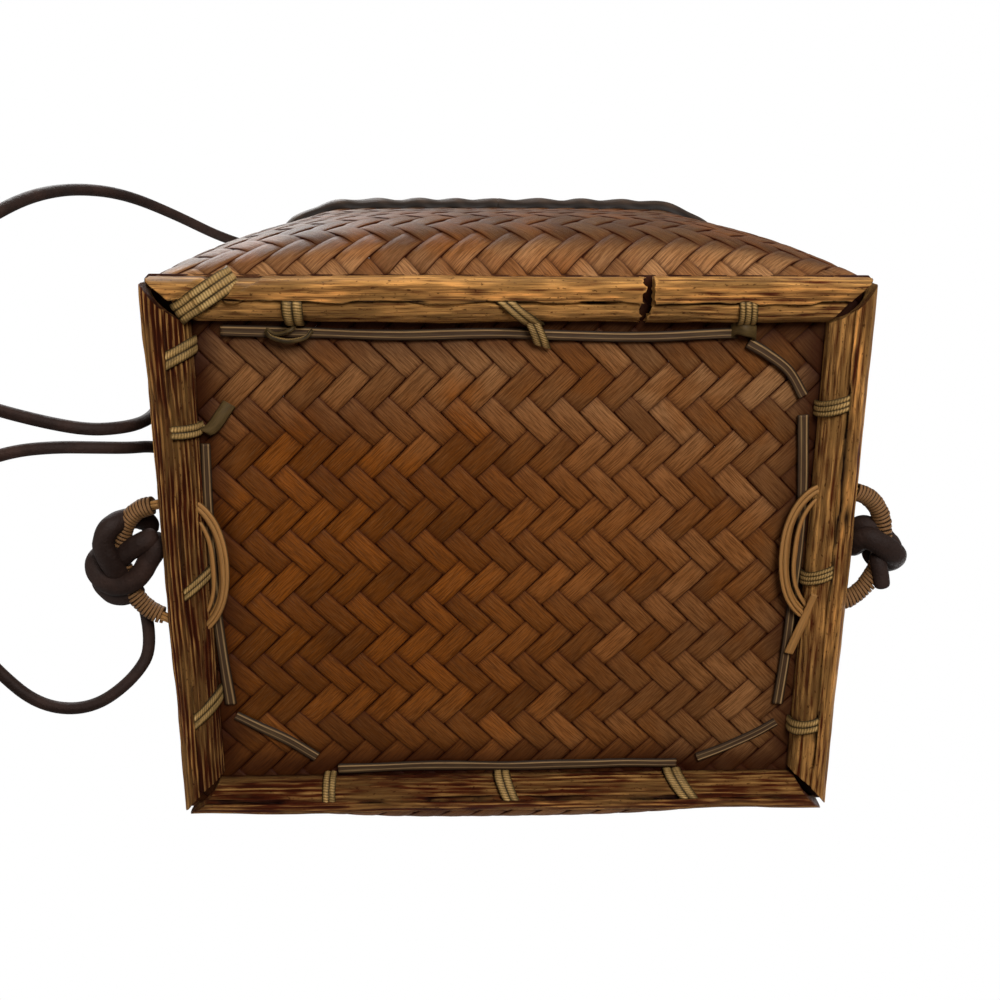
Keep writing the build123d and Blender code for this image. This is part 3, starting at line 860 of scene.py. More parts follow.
def rail_surface(shell, side, width, ends, look):
    """One rail between its two ends, each end a cut of its own slope, ragged where it is torn.

    The outline's seen part is moved outwards by a sum of wandering ridges and by a slow wave along
    its length. It is cut by a crack with raised lips that wanders along its middle and opens under
    the bands, by a small round knot, and by a shallow slanting seat for a band.
    """
    start, stop, start_slope, end_slope = ends
    profile, shown = rail_profile(width)
    edges = np.roll(profile, -1, 0) - np.roll(profile, 1, 0)
    outwards = unit(np.stack([-edges[:, 1], edges[:, 0]], -1)) * -1
    girth = travelled(profile)
    mask = np.zeros(len(profile))
    mask[:shown] = 1
    mask[:2] = mask[shown - 2 : shown] = 0.3
    steps = int((stop - start) / RAIL_STEP)
    s = np.linspace(start, stop, steps)
    s_grid, g_grid = np.meshgrid(s, girth, indexing="ij")
    seed, spread, ridge_height = look["seed"], look["spread"], look["ridge"]

    # ridges and fibres that run along the rail
    drift = g_grid + 0.5 * MM * wander(s_grid, seed, 45 * MM)
    drift = drift + 0.1 * MM * rough(s_grid, g_grid, seed + 1, 12 * MM, 4 * MM)
    sway = 1.6 * rough(s_grid, g_grid, seed + 2, 120 * MM, 6 * MM)
    wide = np.cos(2 * np.pi * drift / spread + sway)
    fine = 0.6 * rough(s_grid, drift, seed + 3, 26 * MM, 0.45 * MM)
    fine = fine + 0.6 * rough(s_grid, drift, seed + 9, 7 * MM, 0.8 * MM)
    ridge = np.clip(look["level"] + 0.36 * wide * look["stripes"] + 0.4 * fine, 0, 1)
    torn_at = {"start": start, "end": stop}.get(look["torn"], 9.0)
    ridge = np.maximum(ridge, np.exp(-np.abs(s_grid - torn_at) / (1.6 * MM)))

    # ends: torn ones are ragged, mitred ones open a little in a lens shape
    ragged = look["ragged"] * rough(girth / (1.3 * MM), 0 * girth, seed + 8, 1, 1)
    place_across = np.clip(profile[:, 0] / width, 0, 1)
    outer_edge = np.clip(1 - profile[:, 0] / (2.5 * MM), 0, 1)
    opening = 2.3 * MM * np.sin(np.pi * place_across**0.8) + 1.5 * MM * outer_edge**2
    first = start + start_slope * profile[:, 0] + (ragged if look["torn"] == "start" else opening)
    final = stop - end_slope * profile[:, 0] + (ragged if look["torn"] == "end" else -opening)
    share = ((s - start) / (stop - start))[:, None]
    along = first * (1 - share) + final * share
    across = np.broadcast_to(profile[:, 0], s_grid.shape)

    # crack, knot and seat
    middle = width * 0.5 + 0.9 * MM * wander(s_grid, seed + 4, 26 * MM)
    middle = middle + 0.3 * MM * wander(s_grid, seed + 5, 6 * MM)
    below = mask * (profile[:, 1] < RAIL_HEIGHT / 2)
    open_share = look["crack"] * np.clip(1.5 * wander(s_grid, seed + 6, 14 * MM) + 0.2, 0, 1)
    for place in look["bands"]:
        open_share = np.maximum(open_share, hump(along, place * MM, 7 * MM))
    crack = hump(across, middle, CRACK_WIDTH) * below * open_share
    lips = hump(across, middle, LIP_WIDTH) * below * open_share
    knot_s, knot_u = look["knot"]
    knot = hump(along, knot_s * MM, KNOT_LENGTH) * hump(across, knot_u * MM, KNOT_WIDTH) * below
    push = mask * (ridge_height * (ridge - 0.6) + 0.5 * MM * wander(s_grid, seed + 7, 30 * MM))
    push = push + LIP_HEIGHT * lips - CRACK_DEPTH * crack - KNOT_DEPTH * knot
    if look["seat"]:
        outer_s, inner_s = look["seat"]
        slope = (inner_s - outer_s) / width
        aside = np.abs(along - outer_s - slope * across) / np.hypot(1, slope)
        push = push - SEAT_DEPTH * (1 - step_between(aside, SEAT_INNER, SEAT_OUTER)) * (mask > 0)
    floor_gap = 0.02 * MM
    u = profile[:, 0] + push * outwards[:, 0]
    z = np.maximum(profile[:, 1] + push * outwards[:, 1], floor_gap)
    shell.tube(
        on_side(side, along, u, z), pairs(along, girth), ridge=ridge,
        crack=np.clip(crack * 1.6 + knot, 0, 1), tone=np.clip(1.2 - 0.28 * girth / MM, 0, 1),
    )


# ---------------------------------------------------------------- bands

# each side's middle on the base's outer line, the way along it and the way inwards

SIDES = {
    "front": np.array([(0, -HALF_DEPTH, 0), (1, 0, 0), (0, 1, 0)]),
    "back": np.array([(0, HALF_DEPTH, 0), (-1, 0, 0), (0, -1, 0)]),
    "left": np.array([(-HALF_LENGTH, 0, 0), (0, -1, 0), (1, 0, 0)]),
    "right": np.array([(HALF_LENGTH, 0, 0), (0, 1, 0), (-1, 0, 0)]),
}


def band_shell(shell, path, side_vector, width, lashing, seed, rows):
    """A lashing band along a path: rows of ribs side by side, like thin cords sewn together.

    Its upper side rises by a power of the size of a sine across, once for each row, and by a cosine
    along it at the rib pitch.
    """
    along = unit(np.gradient(path, axis=0))
    across = np.broadcast_to(unit(side_vector), path.shape)
    upward = unit(np.cross(along, across))
    length = travelled(path)[:, None]
    top = np.linspace(-1, 1, 6 * rows + 1)
    ripple = np.abs(np.sin(np.pi * rows * (top + 1) / 2)) ** 0.45
    slip = 0.12 * np.sin(np.pi * (top + 1) * rows)
    phase = length / lashing.rib_pitch + slip + 0.15 * wander(length, seed, 4 * MM)
    rib = 0.5 + 0.5 * np.cos(2 * np.pi * phase)
    edge = 1 - np.abs(top) ** 6 * 0.7
    height = lashing.thickness / 2 * (0.6 + 0.4 * ripple * edge + 0.16 * rib * edge)
    swell = width / 2 * (1 + 0.05 * wander(length, seed + 1, 5 * MM))
    bottom = np.array([0.85, 0.0, -0.85])
    lower = pairs(swell * bottom, -lashing.thickness / 2)
    section = np.concatenate([pairs(swell * top, height), lower], 1)
    # rib value for the colour: low in the creases and on the underside, for painted shade there
    value = np.concatenate([ripple * edge * (0.45 + 0.55 * rib), np.full((len(path), 3), 0.2)], 1)
    uv = pairs(length, np.concatenate([top, bottom]))
    tone = np.random.default_rng(seed).uniform()
    shell.tube(ribbon(path, across, upward, section), uv, rib=value, tone=tone)


def over_rail(side, width, outer_s, inner_s):
    """Path of a band: out of the crack, round the rail's inner half, and up to the woven base."""
    clear, lowest = 0.9 * MM, 0.72 * MM
    middle = width * RAIL_CRACK
    inner = width - middle + clear
    swing = np.linspace(0, np.pi / 2, 30)
    top = RAIL_LIFT + width - middle
    u = np.concatenate([[middle - 0.5 * MM, middle - 0.3 * MM], middle + inner * np.sin(swing),
                        np.full(3, width + clear)])
    z = np.concatenate([[2.2 * MM, 1.3 * MM], top - inner * np.cos(swing),
                        np.linspace(top, RAIL_HEIGHT, 4)[1:]])
    z = np.clip(z, lowest, RAIL_HEIGHT)
    share = (u - middle) / (width - middle)
    s = outer_s + (inner_s - outer_s) * share
    path, _ = smooth_path(on_side(side, s, u, z), 90)
    return path


# ---------------------------------------------------------------- operators

class BASKET_OT_stage(Operator):
    """Camera below the base, soft lights on both sides of the floor, and a pale floor"""

    bl_idname = "basket.stage"
    bl_label = "Stage"

    def execute(self, context):
        scene = context.scene
        camera_data = bpy.data.cameras.new("camera")
        camera_data.lens = 41.04
        camera_data.sensor_width = 36.0
        camera_data.clip_start = 0.01
        camera = add_object("camera", camera_data)
        right = (0.9995, -0.0049, -0.0299)
        above = (0.0042, -0.9551, 0.2961)
        behind = (-0.0300, -0.2961, -0.9547)
        place = Matrix((right, above, behind)).transposed().to_4x4()
        place.translation = (-16.0 * MM, -145.0 * MM, -385.3 * MM)
        camera.matrix_world = place
        scene.camera = camera

        world = bpy.data.worlds.new("studio")
        world.use_nodes = True
        nodes, links = world.node_tree.nodes, world.node_tree.links
        backdrop = nodes["Background"]
        backdrop.inputs["Color"].default_value = (1.0, 1.0, 1.0, 1.0)
        rays = nodes.new("ShaderNodeLightPath")
        strength = nodes.new("ShaderNodeMapRange")
        strength.inputs["To Min"].default_value = 0.45
        links.new(rays.outputs["Is Camera Ray"], strength.inputs["Value"])
        links.new(strength.outputs[0], backdrop.inputs["Strength"])
        scene.world = world
        scene.view_settings.view_transform = "Standard"

        lights = {
            "key_below": ((0.25, -0.65, -0.75), 0.5, 13.0),
            "fill_below": ((-0.5, 0.3, -0.9), 0.9, 3.5),
            "key_above": ((-0.6, -0.9, 1.3), 0.8, 30.0),
            "fill_above": ((1.0, 0.8, 1.0), 1.0, 16.0),
        }
        for name, (where, size, power) in lights.items():
            data = bpy.data.lights.new(name, "AREA")
            data.shape = "DISK"
            data.size = size
            data.energy = power
            lamp = add_object(name, data)
            lamp.location = where
            lamp.rotation_euler = (-lamp.location).to_track_quat("-Z", "Y").to_euler()

        mesh = bpy.data.meshes.new("floor")
        half = 3.0
        corners = [(-half, -half, 0), (half, -half, 0), (half, half, 0), (-half, half, 0)]
        mesh.from_pydata(corners, [], [(0, 1, 2, 3)])
        floor = add_object("floor", mesh)
        finish = Finish("pale_floor", Base_Color=(0.86, 0.86, 0.85, 1.0), Roughness=0.9)
        hidden = finish.node("ShaderNodeNewGeometry", output="Backfacing")
        clear = finish.node("ShaderNodeBsdfTransparent")
        shown = Socket(finish, finish.shader.outputs[0])
        mixed = finish.node("ShaderNodeMixShader", None, {0: hidden, 1: shown, 2: clear})
        output = next(n for n in finish.tree.nodes if n.type == "OUTPUT_MATERIAL")
        finish.feed(output.inputs[0], mixed)
        mesh.materials.append(finish.material)
        floor.visible_shadow = False
        return {"FINISHED"}


class BASKET_OT_strap(Operator):
    """The leather strap: up from the right knot, over the mouth, and back along the floor"""

    bl_idname = "basket.strap"
    bl_label = "Strap and Knots"

    route = [
        (137, -2, 21.5), (137, -2, 44), (134.5, -5, 76), (130, -9, 108), (127, -12, 138),
        (125.5, -15, 161), (118.5, -18, 177), (103, -24, 180), (84, -31, 171), (58, -41, 158),
        (30, -51, 151), (2, -61, 149), (-26, -72, 152), (-53, -80, 160), (-75, -85, 171),
        (-94, -90, 179), (-114, -97, 178.5), (-130, -104, 163), (-144, -115.5, 138),
        (-156, -125.5, 106), (-164, -129, 72), (-169, -128, 38), (-175, -122, 12),
        (-188, -112, 2.3), (-204, -99, 2.3), (-210, -81, 2.3), (-199, -66, 2.3),
        (-179, -58.5, 2.3), (-161, -53.5, 2.3), (-147, -50.5, 3.5), (-138, -49.5, 10),
        (-134, -48, 24), (-133, -48, 40), (-133, -54, 56), (-133, -58, 73), (-132, -49, 90),
        (-132, -31, 93), (-132, -20, 78), (-132.6, -24, 60), (-133, -33, 45),
        (-133.5, -38, 29), (-137, -41, 15), (-146, -43, 8), (-160, -44, 5), (-174, -43, 3),
        (-189, -38, 2.3), (-204, -22, 2.3), (-209, -1, 2.3), (-202, 20, 2.3), (-190, 39, 2.3),
        (-175, 55, 2.3), (-156, 56.5, 2.3), (-140, 45.5, 5), (-133, 34, 11), (-136, 17, 12),
    ]
    left_laps = [
        [(-131, -8, 19), (-134.5, -13, 17), (-139, -15.5, 11), (-143.5, -14, 6), (-146, -8.5, 5),
         (-145, -2.5, 5), (-143.5, 2, 6.5), (-142.5, 6, 11), (-139.5, 6, 16)],
        [(-128.5, -9, 12), (-133, -7.5, 8.4), (-138, -4.5, 8.2), (-142.5, -1, 9.6),
         (-148, 1.5, 14)],
        [(-144, -4, 18), (-149.5, -1, 15), (-151.5, 1, 11), (-150.5, 4.5, 8.5), (-147, 7.5, 7),
         (-142, 8.5, 6.5), (-136, 6, 7), (-132, 0.5, 8.5), (-129, -5, 10), (-129, -9, 14)],
        [(-152, 8, 15), (-149.5, 11, 12), (-145, 13.5, 10), (-140, 13, 10.5), (-137, 10, 13)],
    ]
    right_laps = [
        [(129, 0, 14), (129, -5, 10.5), (131.5, -8, 7.5), (135.5, -6.5, 6.4), (139.5, -4, 6.6),
         (143.5, -0.5, 9), (143, 3.5, 14), (139, 2.5, 17.5), (136.8, -1.5, 19.5)],
        [(129.5, -9, 15), (132, -11, 12), (137, -8.5, 11.5), (142.5, -3, 13), (144, 0.5, 16)],
    ]
    right_stub = [(137, -1.5, 10), (137, 2, 7.5), (138, 6.5, 6.5), (139, 11.5, 6)]

    def lap(self, shell, points, radius, seed):
        """One turn of a knot: a round section, a little flat and wrinkled, along a smooth curve."""
        path, length = smooth_path(np.array(points) * MM, 70)
        uv = pairs(length[:, None], full_turn(20))
        wrinkle = 1 + 0.035 * rough(uv[..., 0] / MM, uv[..., 1], seed, 2.2, 1.1)
        ends = np.sqrt(np.clip(1 - np.linspace(-1, 1, len(path)) ** 12, 0.12, 1))
        section = oval(uv[..., 1], radius * wrinkle * ends[:, None], 0.86)
        shell.tube(ribbon(path, *path_frames(path), section), uv)

    def execute(self, context):
        settings = context.scene.basket_strap
        leather = strap_leather(settings.colour)
        curve = bpy.data.curves.new("strap_cord", "CURVE")
        curve.dimensions = "3D"
        curve.bevel_depth = settings.diameter / 2
        curve.bevel_resolution = 5
        curve.use_fill_caps = True
        curve.resolution_u = 10
        spline = curve.splines.new("NURBS")
        spline.points.add(len(self.route) - 1)
        points = np.column_stack([np.array(self.route) * MM, np.ones(len(self.route))])
        spline.points.foreach_set("co", points.reshape(-1))
        spline.order_u = 3
        spline.use_endpoint_u = True
        curve.materials.append(leather)
        strap = add_object("strap_cord", curve)
        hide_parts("strap")
        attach(strap, "root")

        left = Shell()
        for seed, points in enumerate(self.left_laps):
            self.lap(left, points, 3.9 * MM, seed)
        left_knot = left.finish("left_knot", leather, "leather", "knot_left")
        right = Shell()
        for seed, points in enumerate(self.right_laps, 5):
            self.lap(right, points, 4.3 * MM, seed)
        self.lap(right, self.right_stub, 3.0 * MM, 9)
        right_knot = right.finish("right_knot", leather, "leather", "knot_right")
        return {"FINISHED"}


class BASKET_OT_weave(Operator):
    """The woven base and the two directions of the wall's strips"""

    bl_idname = "basket.weave"
    bl_label = "Woven Body"

    def execute(self, context):
        weave = context.scene.basket_weave
        cane = woven_cane(weave.colour, weave.gap_shade_colour)
        base = Shell("tone", "dip", "soil")
        for kind in (1, -1):
            base_strips(base, weave, kind)
        base.finish("woven_base", cane, "woven_cane", "woven_body")
        wall = WallMap()
        for kind, name in ((1, "wall_strips_rising"), (-1, "wall_strips_falling")):
            shell = Shell("tone", "dip", "soil")
            wall_strips(shell, weave, wall, kind)
            shell.finish(name, cane, "woven_cane", "woven_body")
        return {"FINISHED"}


class BASKET_OT_rails(Operator):
    """The four split-cane rails under the base, the front one snapped in two"""

    bl_idname = "basket.rails"
    bl_label = "Rails"

    def execute(self, context):
        settings = context.scene.basket_rails
        cane = rail_cane(settings.light, settings.dark)
        corner = 0.4 * MM
        long_end, short_end = HALF_LENGTH - corner, HALF_DEPTH - corner
        break_x = (node_box("rail_front_left")[1][0] + node_box("rail_front_right")[0][0]) / 2
        left_stop = break_x - settings.break_gap / 2
        right_start = break_x + settings.break_gap / 2
        plain = {"ridge": settings.ridge, "spread": 1.9 * MM, "stripes": 1.0, "crack": 1.0,
                 "level": 0.5, "knot": (500, 0), "ragged": 0.0, "torn": "", "bands": [],
                 "seat": None}
        rails = {
            "front_left": ("front", RAIL_WIDTH, (-long_end, left_stop, 1, 0.1),
                           {"seed": 11, "stripes": 0.2, "spread": 3.1 * MM, "ragged": 1.3 * MM,
                            "torn": "end", "crack": 1.0, "level": 0.78, "bands": [-74, -2],
                            "seat": (-94.5 * MM, -117.8 * MM)}),
            "front_right": ("front", RAIL_WIDTH, (right_start, long_end, -0.1, 1),
                            {"seed": 23, "stripes": 0.5, "spread": 2.2 * MM, "ragged": 1.3 * MM,
                             "torn": "start", "crack": 0.9, "level": 0.74, "bands": [80]}),
            "back": ("back", BACK_RAIL_WIDTH, (-long_end, long_end, 1, 1),
                     {"seed": 37, "stripes": 0.5, "crack": 0.8, "level": 0.44}),
            "left": ("left", RAIL_WIDTH, (-short_end, short_end, 1, 1),
                     {"seed": 51, "stripes": 1.15, "spread": 1.7 * MM, "crack": 0.4, "level": 0.36,
                      "ridge": settings.ridge * 1.5}),
            "right": ("right", RAIL_WIDTH, (-short_end, short_end, 1, 1),
                      {"seed": 67, "stripes": 0.4, "spread": 2.6 * MM, "crack": 1.0,
                       "level": 0.7, "knot": (-18, 4), "bands": [-60, 3, 65]}),
        }
        for name, (side, width, ends, look) in rails.items():
            shell = Shell("ridge", "crack", "tone")
            rail_surface(shell, SIDES[side], width, ends, {**plain, **look})
            shell.finish(f"{name}_rail", cane, "rail_cane", f"rail_{name}")
        return {"FINISHED"}


class BASKET_OT_lashings(Operator):
    """The cane bands that tie the rails to the woven base"""

    bl_idname = "basket.lashings"
    bl_label = "Lashings"

    # where each band lies along its side at the rail's crack and at the base, its width, its rows
    bands = {
        "front": [(-74, -74, 7, 2), (-2, 7, 7, 2), (80, 81, 6.5, 3)],
        "left": [(75, 79, 6.5, 2), (50, 50, 5, 2), (-10, -4, 5, 2), (-61, -54, 7, 2)],
        "right": [(-60, -57, 6, 3), (3, 7, 5.5, 3), (65, 68, 6, 2)],
        "back": [(69, 69, 5, 2), (-1, 2, 6.5, 2), (-70, -65, 7.5, 2)],
    }
    # loose loops, tails and knots at the ends of some bands: path, way across, width and rows
    loose = {
        "lashing_front_2": (
            [(-74, -86.6, 8.4), (-76, -84.5, 6.6), (-81, -83.2, 7.2), (-84, -84.6, 8),
             (-82.5, -82.5, 6.5), (-77, -81, 6.2), (-71, -82, 6.6), (-68.5, -84.5, 7.6)],
            (0, 0, 1), 3.2, 1),
        "lashing_front_3": (
            [(6.6, -88.6, 4.6), (7.6, -86.6, 4.8), (8.8, -84.2, 5.2), (9.9, -81.6, 6.2),
             (10.8, -79.2, 8)],
            (1, 0.3, 0), 6.4, 2),
        "lashing_front_4": (
            [(77, -84, 9), (78.5, -85.5, 6.8), (81, -85, 5.6), (84, -84.2, 6.8), (85, -82.5, 9)],
            (0, 1, 0), 5.2, 3),
        "lashing_left_2": (
            [(-109, -51, 8.6), (-107, -49, 7.2), (-104.5, -50.5, 7.2), (-101.5, -54.5, 7.8),
             (-98.7, -58.5, 9)],
            (1, 0.6, 0), 5.0, 2),
    }

    def execute(self, context):
        settings = context.scene.basket_lashings
        cane = lashing_cane(settings.colour)
        for side, bands in self.bands.items():
            width = BACK_RAIL_WIDTH if side == "back" else RAIL_WIDTH
            first = 2 if side == "front" else 1  # the front's first is the corner band
            for number, (outer_s, inner_s, band, rows) in enumerate(bands, first):
                name = f"lashing_{side}_{number}"
                shell = Shell("rib", "tone")
                path = over_rail(SIDES[side], width, outer_s * MM, inner_s * MM)
                seed = 7 * number + len(side)
                band_shell(shell, path, SIDES[side][1], band * MM, settings, seed, rows)
                if name in self.loose:
                    points, across, band, rows = self.loose[name]
                    path, _ = smooth_path(np.array(points) * MM, 80)
                    across = np.array(across, float)
                    band_shell(shell, path, across, band * MM, settings, seed + 3, rows)
                shell.finish(name.replace("lashing", "band"), cane, "binding_cane", name)
        self.corner_band(settings, cane)
        return {"FINISHED"}

    def corner_band(self, settings, cane):
        """The wide band over the whole front rail near its left end."""
        outer_s, inner_s, reach = -94.5 * MM, -113 * MM, 12.2 * MM
        radius, inner = 4.9 * MM, 3.8 * MM
        turn = np.linspace(0, np.pi / 2, 12)
        u = np.concatenate([[0.1 * MM] * 2, radius * (1 - np.cos(turn)), [6.5 * MM, 7.8 * MM],
                            7.8 * MM + inner * np.sin(turn), [reach] * 2])
        z = np.concatenate([[9.8 * MM, 7 * MM], radius * (1 - np.sin(turn)) + 0.55 * MM,
                            [0.62 * MM, 0.8 * MM], 1.0 * MM + 0.4 * inner * (1 - np.cos(turn)),
                            [4.5 * MM, 8 * MM]])
        s = outer_s + (inner_s - outer_s) * u / reach
        path, _ = smooth_path(on_side(SIDES["front"], s, u, z), 130)
        shell = Shell("rib", "tone")
        across = unit(np.array([reach, outer_s - inner_s, 0.0]))
        band_shell(shell, path, across, 8 * MM, settings, 91, 3)
        shell.finish("corner_lashing", cane, "binding_cane", "lashing_front_1")


class BASKET_OT_strips(Operator):
    """The dark flat canes along the base's edges and across its corners"""

    bl_idname = "basket.strips"
    bl_label = "Edge Strips"

    strips = {
        "edge_strip_front": [(-100, -84.2), (-74, -83.6), (-40, -82.6), (-5, -83.2), (40, -82),
                             (79, -83.4)],
        "edge_strip_back": [(-66, 86.4), (-30, 85.4), (0, 85.8), (34, 85.2), (66, 85.2)],
        "edge_strip_left": [(-108, -44), (-108.8, -14), (-108.6, 16), (-107, 40), (-105.5, 58)],
        "edge_strip_right": [(104.5, -54), (107, -20), (106.6, 10), (105.5, 40), (104, 60)],
        "corner_strip_front_right": [(83, -80), (90, -76), (98, -70), (104, -61)],
        "corner_strip_back_right": [(104, 68), (96, 73), (86, 78), (74, 83)],
        "corner_strip_back_left": [(-104, 63), (-95, 68), (-84, 74), (-74, 81)],
    }

    def execute(self, context):
        # the dark cane's colour is partly its own dark tone and partly painted shade: it is
        # darkened further for the shadow the strips lie in beside the rails
        dark = streaked_cane("dark_cane", (0.044, 0.023, 0.011), (0.38, 0.235, 0.10))
        top, bottom = np.linspace(-1, 1, 17), np.array([0.8, -0.8])
        lines = hump(top, 0.55, 0.09) + 0.5 * hump(top, -0.38, 0.08)
        ridge = np.concatenate([np.clip(lines, 0, 1), [0, 0]])
        height = RAIL_HEIGHT - 0.9 * MM
        for seed, (name, points) in enumerate(self.strips.items()):
            plan = np.column_stack([np.array(points) * MM, np.full(len(points), height)])
            path, length = smooth_path(plan, 160)
            path[:, 2] += 0.25 * MM * wander(length, seed, 14 * MM)
            length = length[:, None]
            wavy = 0.2 * rough(length, top + 0 * length, seed, 18 * MM, 0.2)
            rise = 0.6 * MM * (1 - 0.5 * np.abs(top) ** 5) + 0.16 * MM * lines + 0.25 * MM * wavy
            half = 2.0 * MM * (1 + 0.12 * wander(length, seed + 20, 20 * MM))
            section = np.concatenate([pairs(half * top, rise), pairs(half * bottom, -0.5 * MM)], 1)
            across, _ = path_frames(path)
            uv = pairs(length, np.concatenate([top, bottom]))
            shell = Shell("ridge", "tone")
            shell.tube(ribbon(path, across, -UP, section), uv, ridge=ridge, tone=0.13 * seed)
            shell.finish(name.replace("strip", "cane"), dark, "dark_cane", name)
        return {"FINISHED"}


class BASKET_OT_rings(Operator):
    """The two strap rings of split strands, and the cane wound around their outer arcs"""

    bl_idname = "basket.rings"
    bl_label = "Rings"

    # seed of each strand, then its shift outwards, its level, its thickness and its spread
    strands = [
        (1, -1.0, -0.4, 0.8, -2.4), (2, 1.1, -0.4, 0.85, 0.5), (4, 0.0, -1.0, 0.85, 0.2),
        (3, 0.0, 0.8, 1.0, -0.6),
    ]
    loose = [(113, 12.5, 3.0), (111.2, 20, 4.4), (108.6, 29, 5.8), (106.2, 38, 7.4)]

    def ring_line(self, centre, turn):
        """Middle line of a ring, tilted up on its outer side, and the flat way out from its centre.

        It is a slightly squared oval. It reaches outwards by the cosine of the turn and along the
        rail by its sine, each raised to a power below one. Its height grows with how far out it is.
        """
        sign = 1 if centre[0] > 0 else -1
        reach = np.sign(np.cos(turn)) * np.abs(np.cos(turn)) ** 0.9
        along = np.sign(np.sin(turn)) * np.abs(np.sin(turn)) ** 0.85
        x = centre[0] + sign * (RING_RADIUS * 0.93 * reach + 2.6 * MM)
        z = centre[2] + 4.0 * MM * step_between(reach, 0.1, 1.0)
        inner = step_between(-reach, -0.3, 0.6)
        length = RING_RADIUS * (1.08 + 0.24 * inner)
        y = centre[1] + (2.2 * inner - 0.8) * MM + length * sign * along
        line = np.stack([x, y, z], -1)
        out = line - np.array(centre)
        out[:, 2] = 0
        return line, unit(out)

    def strand(self, shell, centre, shift, level, thickness, seed, spread):
        """One closed strand beside a ring's middle line, moved by the spread on the inner arc."""
        turn = full_turn(160)
        inner = step_between(-np.cos(turn), -0.1, 0.75)
        line, out = self.ring_line(centre, turn)
        away = shift + spread * inner + 0.15 * MM * wander(turn, seed, 0.5)
        path = line + out * away[:, None] + UP * level
        sides = full_turn(10)
        section = oval(sides, thickness * (1 + 0.25 * inner[:, None]), 0.8)
        place = np.cos(sides)
        uv = pairs((turn * RING_RADIUS)[:, None], place)
        rings = ribbon(path, out, UP, section)
        shell.tube(rings, uv, closed=True, ridge=0.35 * (place > 0.2), tone=seed * 0.17)

    def execute(self, context):
        settings = context.scene.basket_rings
        cane = streaked_cane("ring_cane", settings.cane_colour, (0.42, 0.23, 0.08))
        binding = streaked_cane("ring_binding", settings.wrap_colour, (0.27, 0.145, 0.055))
        places = {"left": (-RING_X, 0.0), "right": (RING_X - 3.0 * MM, RING_RIGHT_Y - 1 * MM)}
        for name, (x, y) in places.items():
            centre = (x, y, RING_Z)
            shell = Shell("ridge", "tone")
            for seed, shift, level, thickness, spread in self.strands:
                self.strand(
                    shell, centre, shift * MM, level * MM, thickness * MM, seed, spread * MM
                )
            if name == "right":
                path, length = smooth_path(np.array(self.loose) * MM, 60)
                outline, place = flat_section(3.4 * MM, 1.2 * MM)
                uv = pairs(length[:, None], 0.7 * place)
                shell.tube(ribbon(path, *path_frames(path), outline), uv, ridge=0.3, tone=0.9)
            shell.finish(f"{name}_ring", cane, "ring_cane", f"ring_{name}")

            half_angle, lines_per_turn, turn_length = np.radians(78), 18, 15 * MM
            turns = 2 * half_angle * RING_RADIUS / settings.wrap_pitch
            share = np.linspace(0, 1, int(turns * lines_per_turn))
            angle = (2 * share - 1) * half_angle
            sign = 1 if x > 0 else -1
            spin = 2 * np.pi * turns * share
            line, out = self.ring_line(centre, angle)
            hold = RING_THICKNESS / 2 + 0.7 * MM + 0.15 * MM * wander(share, 5 + sign, 0.03)
            away = out * np.cos(spin)[:, None] + np.sin(spin)[:, None] * UP
            path = line + hold[:, None] * away
            across = unit(np.cross(unit(np.gradient(path, axis=0)), away))
            outline, place = flat_section(1.25 * MM, 1.2 * MM)
            rings = ribbon(path, across, away, outline)
            uv = pairs((share * turns * turn_length)[:, None], place)
            wrap = Shell("ridge", "tone")
            wrap.tube(rings, uv, ridge=0.3 * (np.abs(place) < 0.5), tone=0.4 + 0.2 * sign)
            wrap.finish(f"{name}_ring_wrap", binding, "ring_binding", f"ring_wrap_{name}")
        return {"FINISHED"}


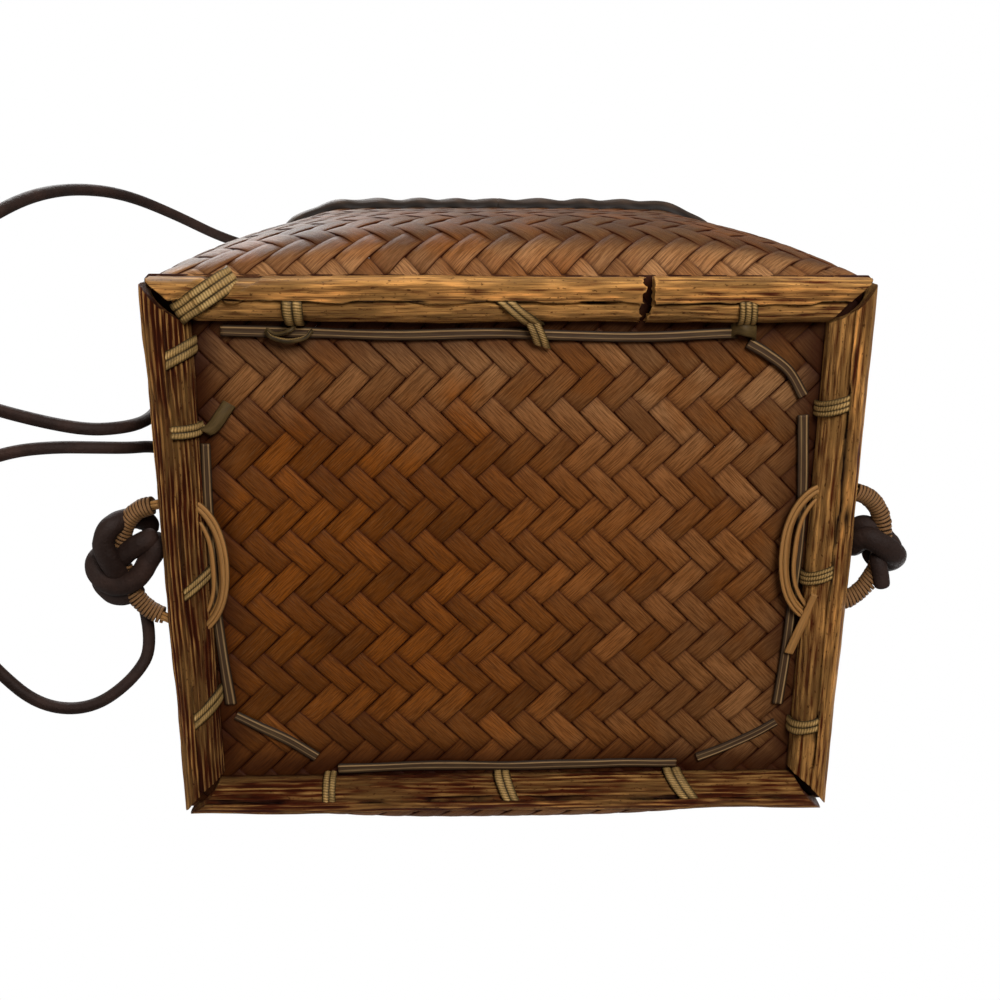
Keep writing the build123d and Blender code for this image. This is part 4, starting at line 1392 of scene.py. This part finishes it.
class BASKET_OT_rim(Operator):
    """The hoop on the wall's top edge and the twisted binding over it"""

    bl_idname = "basket.rim"
    bl_label = "Rim"

    def execute(self, context):
        settings = context.scene.basket_rim
        line = wall_outline(1.0, 900)
        run = unit(np.roll(line, -1, 0) - np.roll(line, 1, 0))
        out = unit(np.cross(run, UP))
        length = (np.arange(len(line)) * np.linalg.norm(line[1] - line[0]))[:, None]
        hoop_cane = streaked_cane("rim_cane", (0.14, 0.08, 0.035), (0.3, 0.2, 0.1))
        hoop = Shell("ridge", "tone")
        middle = line - out * 1.0 * MM + UP * 2.4 * MM
        rings = ribbon(middle, out, UP, oval(full_turn(12), 2.6 * MM, 0.9))
        hoop.tube(rings, pairs(length, np.linspace(-1, 1, 12)), closed=True, ridge=0.2, tone=0.3)
        hoop.finish("hoop", hoop_cane, "rim_cane", "rim_hoop")

        dark = streaked_cane("rim_binding", settings.colour, scaled(settings.colour, 2.4))
        sides, half_width, half_height = full_turn(28), 3.9 * MM, 5.6 * MM
        lumps = length[-1] / settings.lump_spacing
        phase = 2 * np.pi * length / settings.lump_spacing * (np.round(lumps) / lumps)
        twist = np.cos(sides + phase + 0.9 * wander(length, 12, 31 * MM))
        lump = 1 + 0.11 * twist + 0.05 * rough(length, sides + 0 * phase, 3, 6 * MM, 0.8)
        section = oval(sides, half_width * lump, half_height / half_width)
        centre = line - out * 0.4 * MM + UP * 0.6 * MM
        rings = ribbon(centre, out, UP, section)
        uv = pairs(length + 3 * MM * np.cos(sides), np.sin(sides))
        binding = Shell("ridge", "tone")
        binding.tube(rings, uv, closed=True, ridge=np.clip(twist, 0, 1) ** 3 * 0.4, tone=0.6)
        binding.finish("rim_wrap", dark, "rim_binding", "rim_binding")
        return {"FINISHED"}


class BASKET_PT_panel(Panel):
    """Lists the bag's settings and builds its pieces"""

    bl_idname = "BASKET_PT_panel"
    bl_label = "Basket Box Bag"
    bl_space_type = "VIEW_3D"
    bl_region_type = "UI"
    bl_category = "Basket"

    def draw(self, context):
        layout = self.layout
        for name, (group, operator) in PARTS.items():
            box = layout.box()
            box.operator(operator.bl_idname)
            if group is not None:
                settings = getattr(context.scene, f"basket_{name}")
                for key in group.__annotations__:
                    box.prop(settings, key)


PARTS = {
    "stage": (None, BASKET_OT_stage),
    "strap": (StrapSettings, BASKET_OT_strap),
    "weave": (WeaveSettings, BASKET_OT_weave),
    "rails": (RailSettings, BASKET_OT_rails),
    "lashings": (LashingSettings, BASKET_OT_lashings),
    "strips": (None, BASKET_OT_strips),
    "rings": (RingSettings, BASKET_OT_rings),
    "rim": (RimSettings, BASKET_OT_rim),
}


def register():
    for name, (group, operator) in PARTS.items():
        bpy.utils.register_class(operator)
        if group is not None:
            bpy.utils.register_class(group)
            setattr(bpy.types.Scene, f"basket_{name}", PointerProperty(type=group))
    bpy.utils.register_class(BASKET_PT_panel)


def unregister():
    bpy.utils.unregister_class(BASKET_PT_panel)
    for name, (group, operator) in PARTS.items():
        if group is not None:
            delattr(bpy.types.Scene, f"basket_{name}")
            bpy.utils.unregister_class(group)
        bpy.utils.unregister_class(operator)


def plain(box):
    """A box's two corners as lists of numbers."""
    return [[float(number) for number in corner] for corner in box]


def main():
    register()
    for _, operator in PARTS.values():
        group, name = operator.bl_idname.split(".")
        getattr(getattr(bpy.ops, group), name)()


if __name__ == "__main__":
    main()
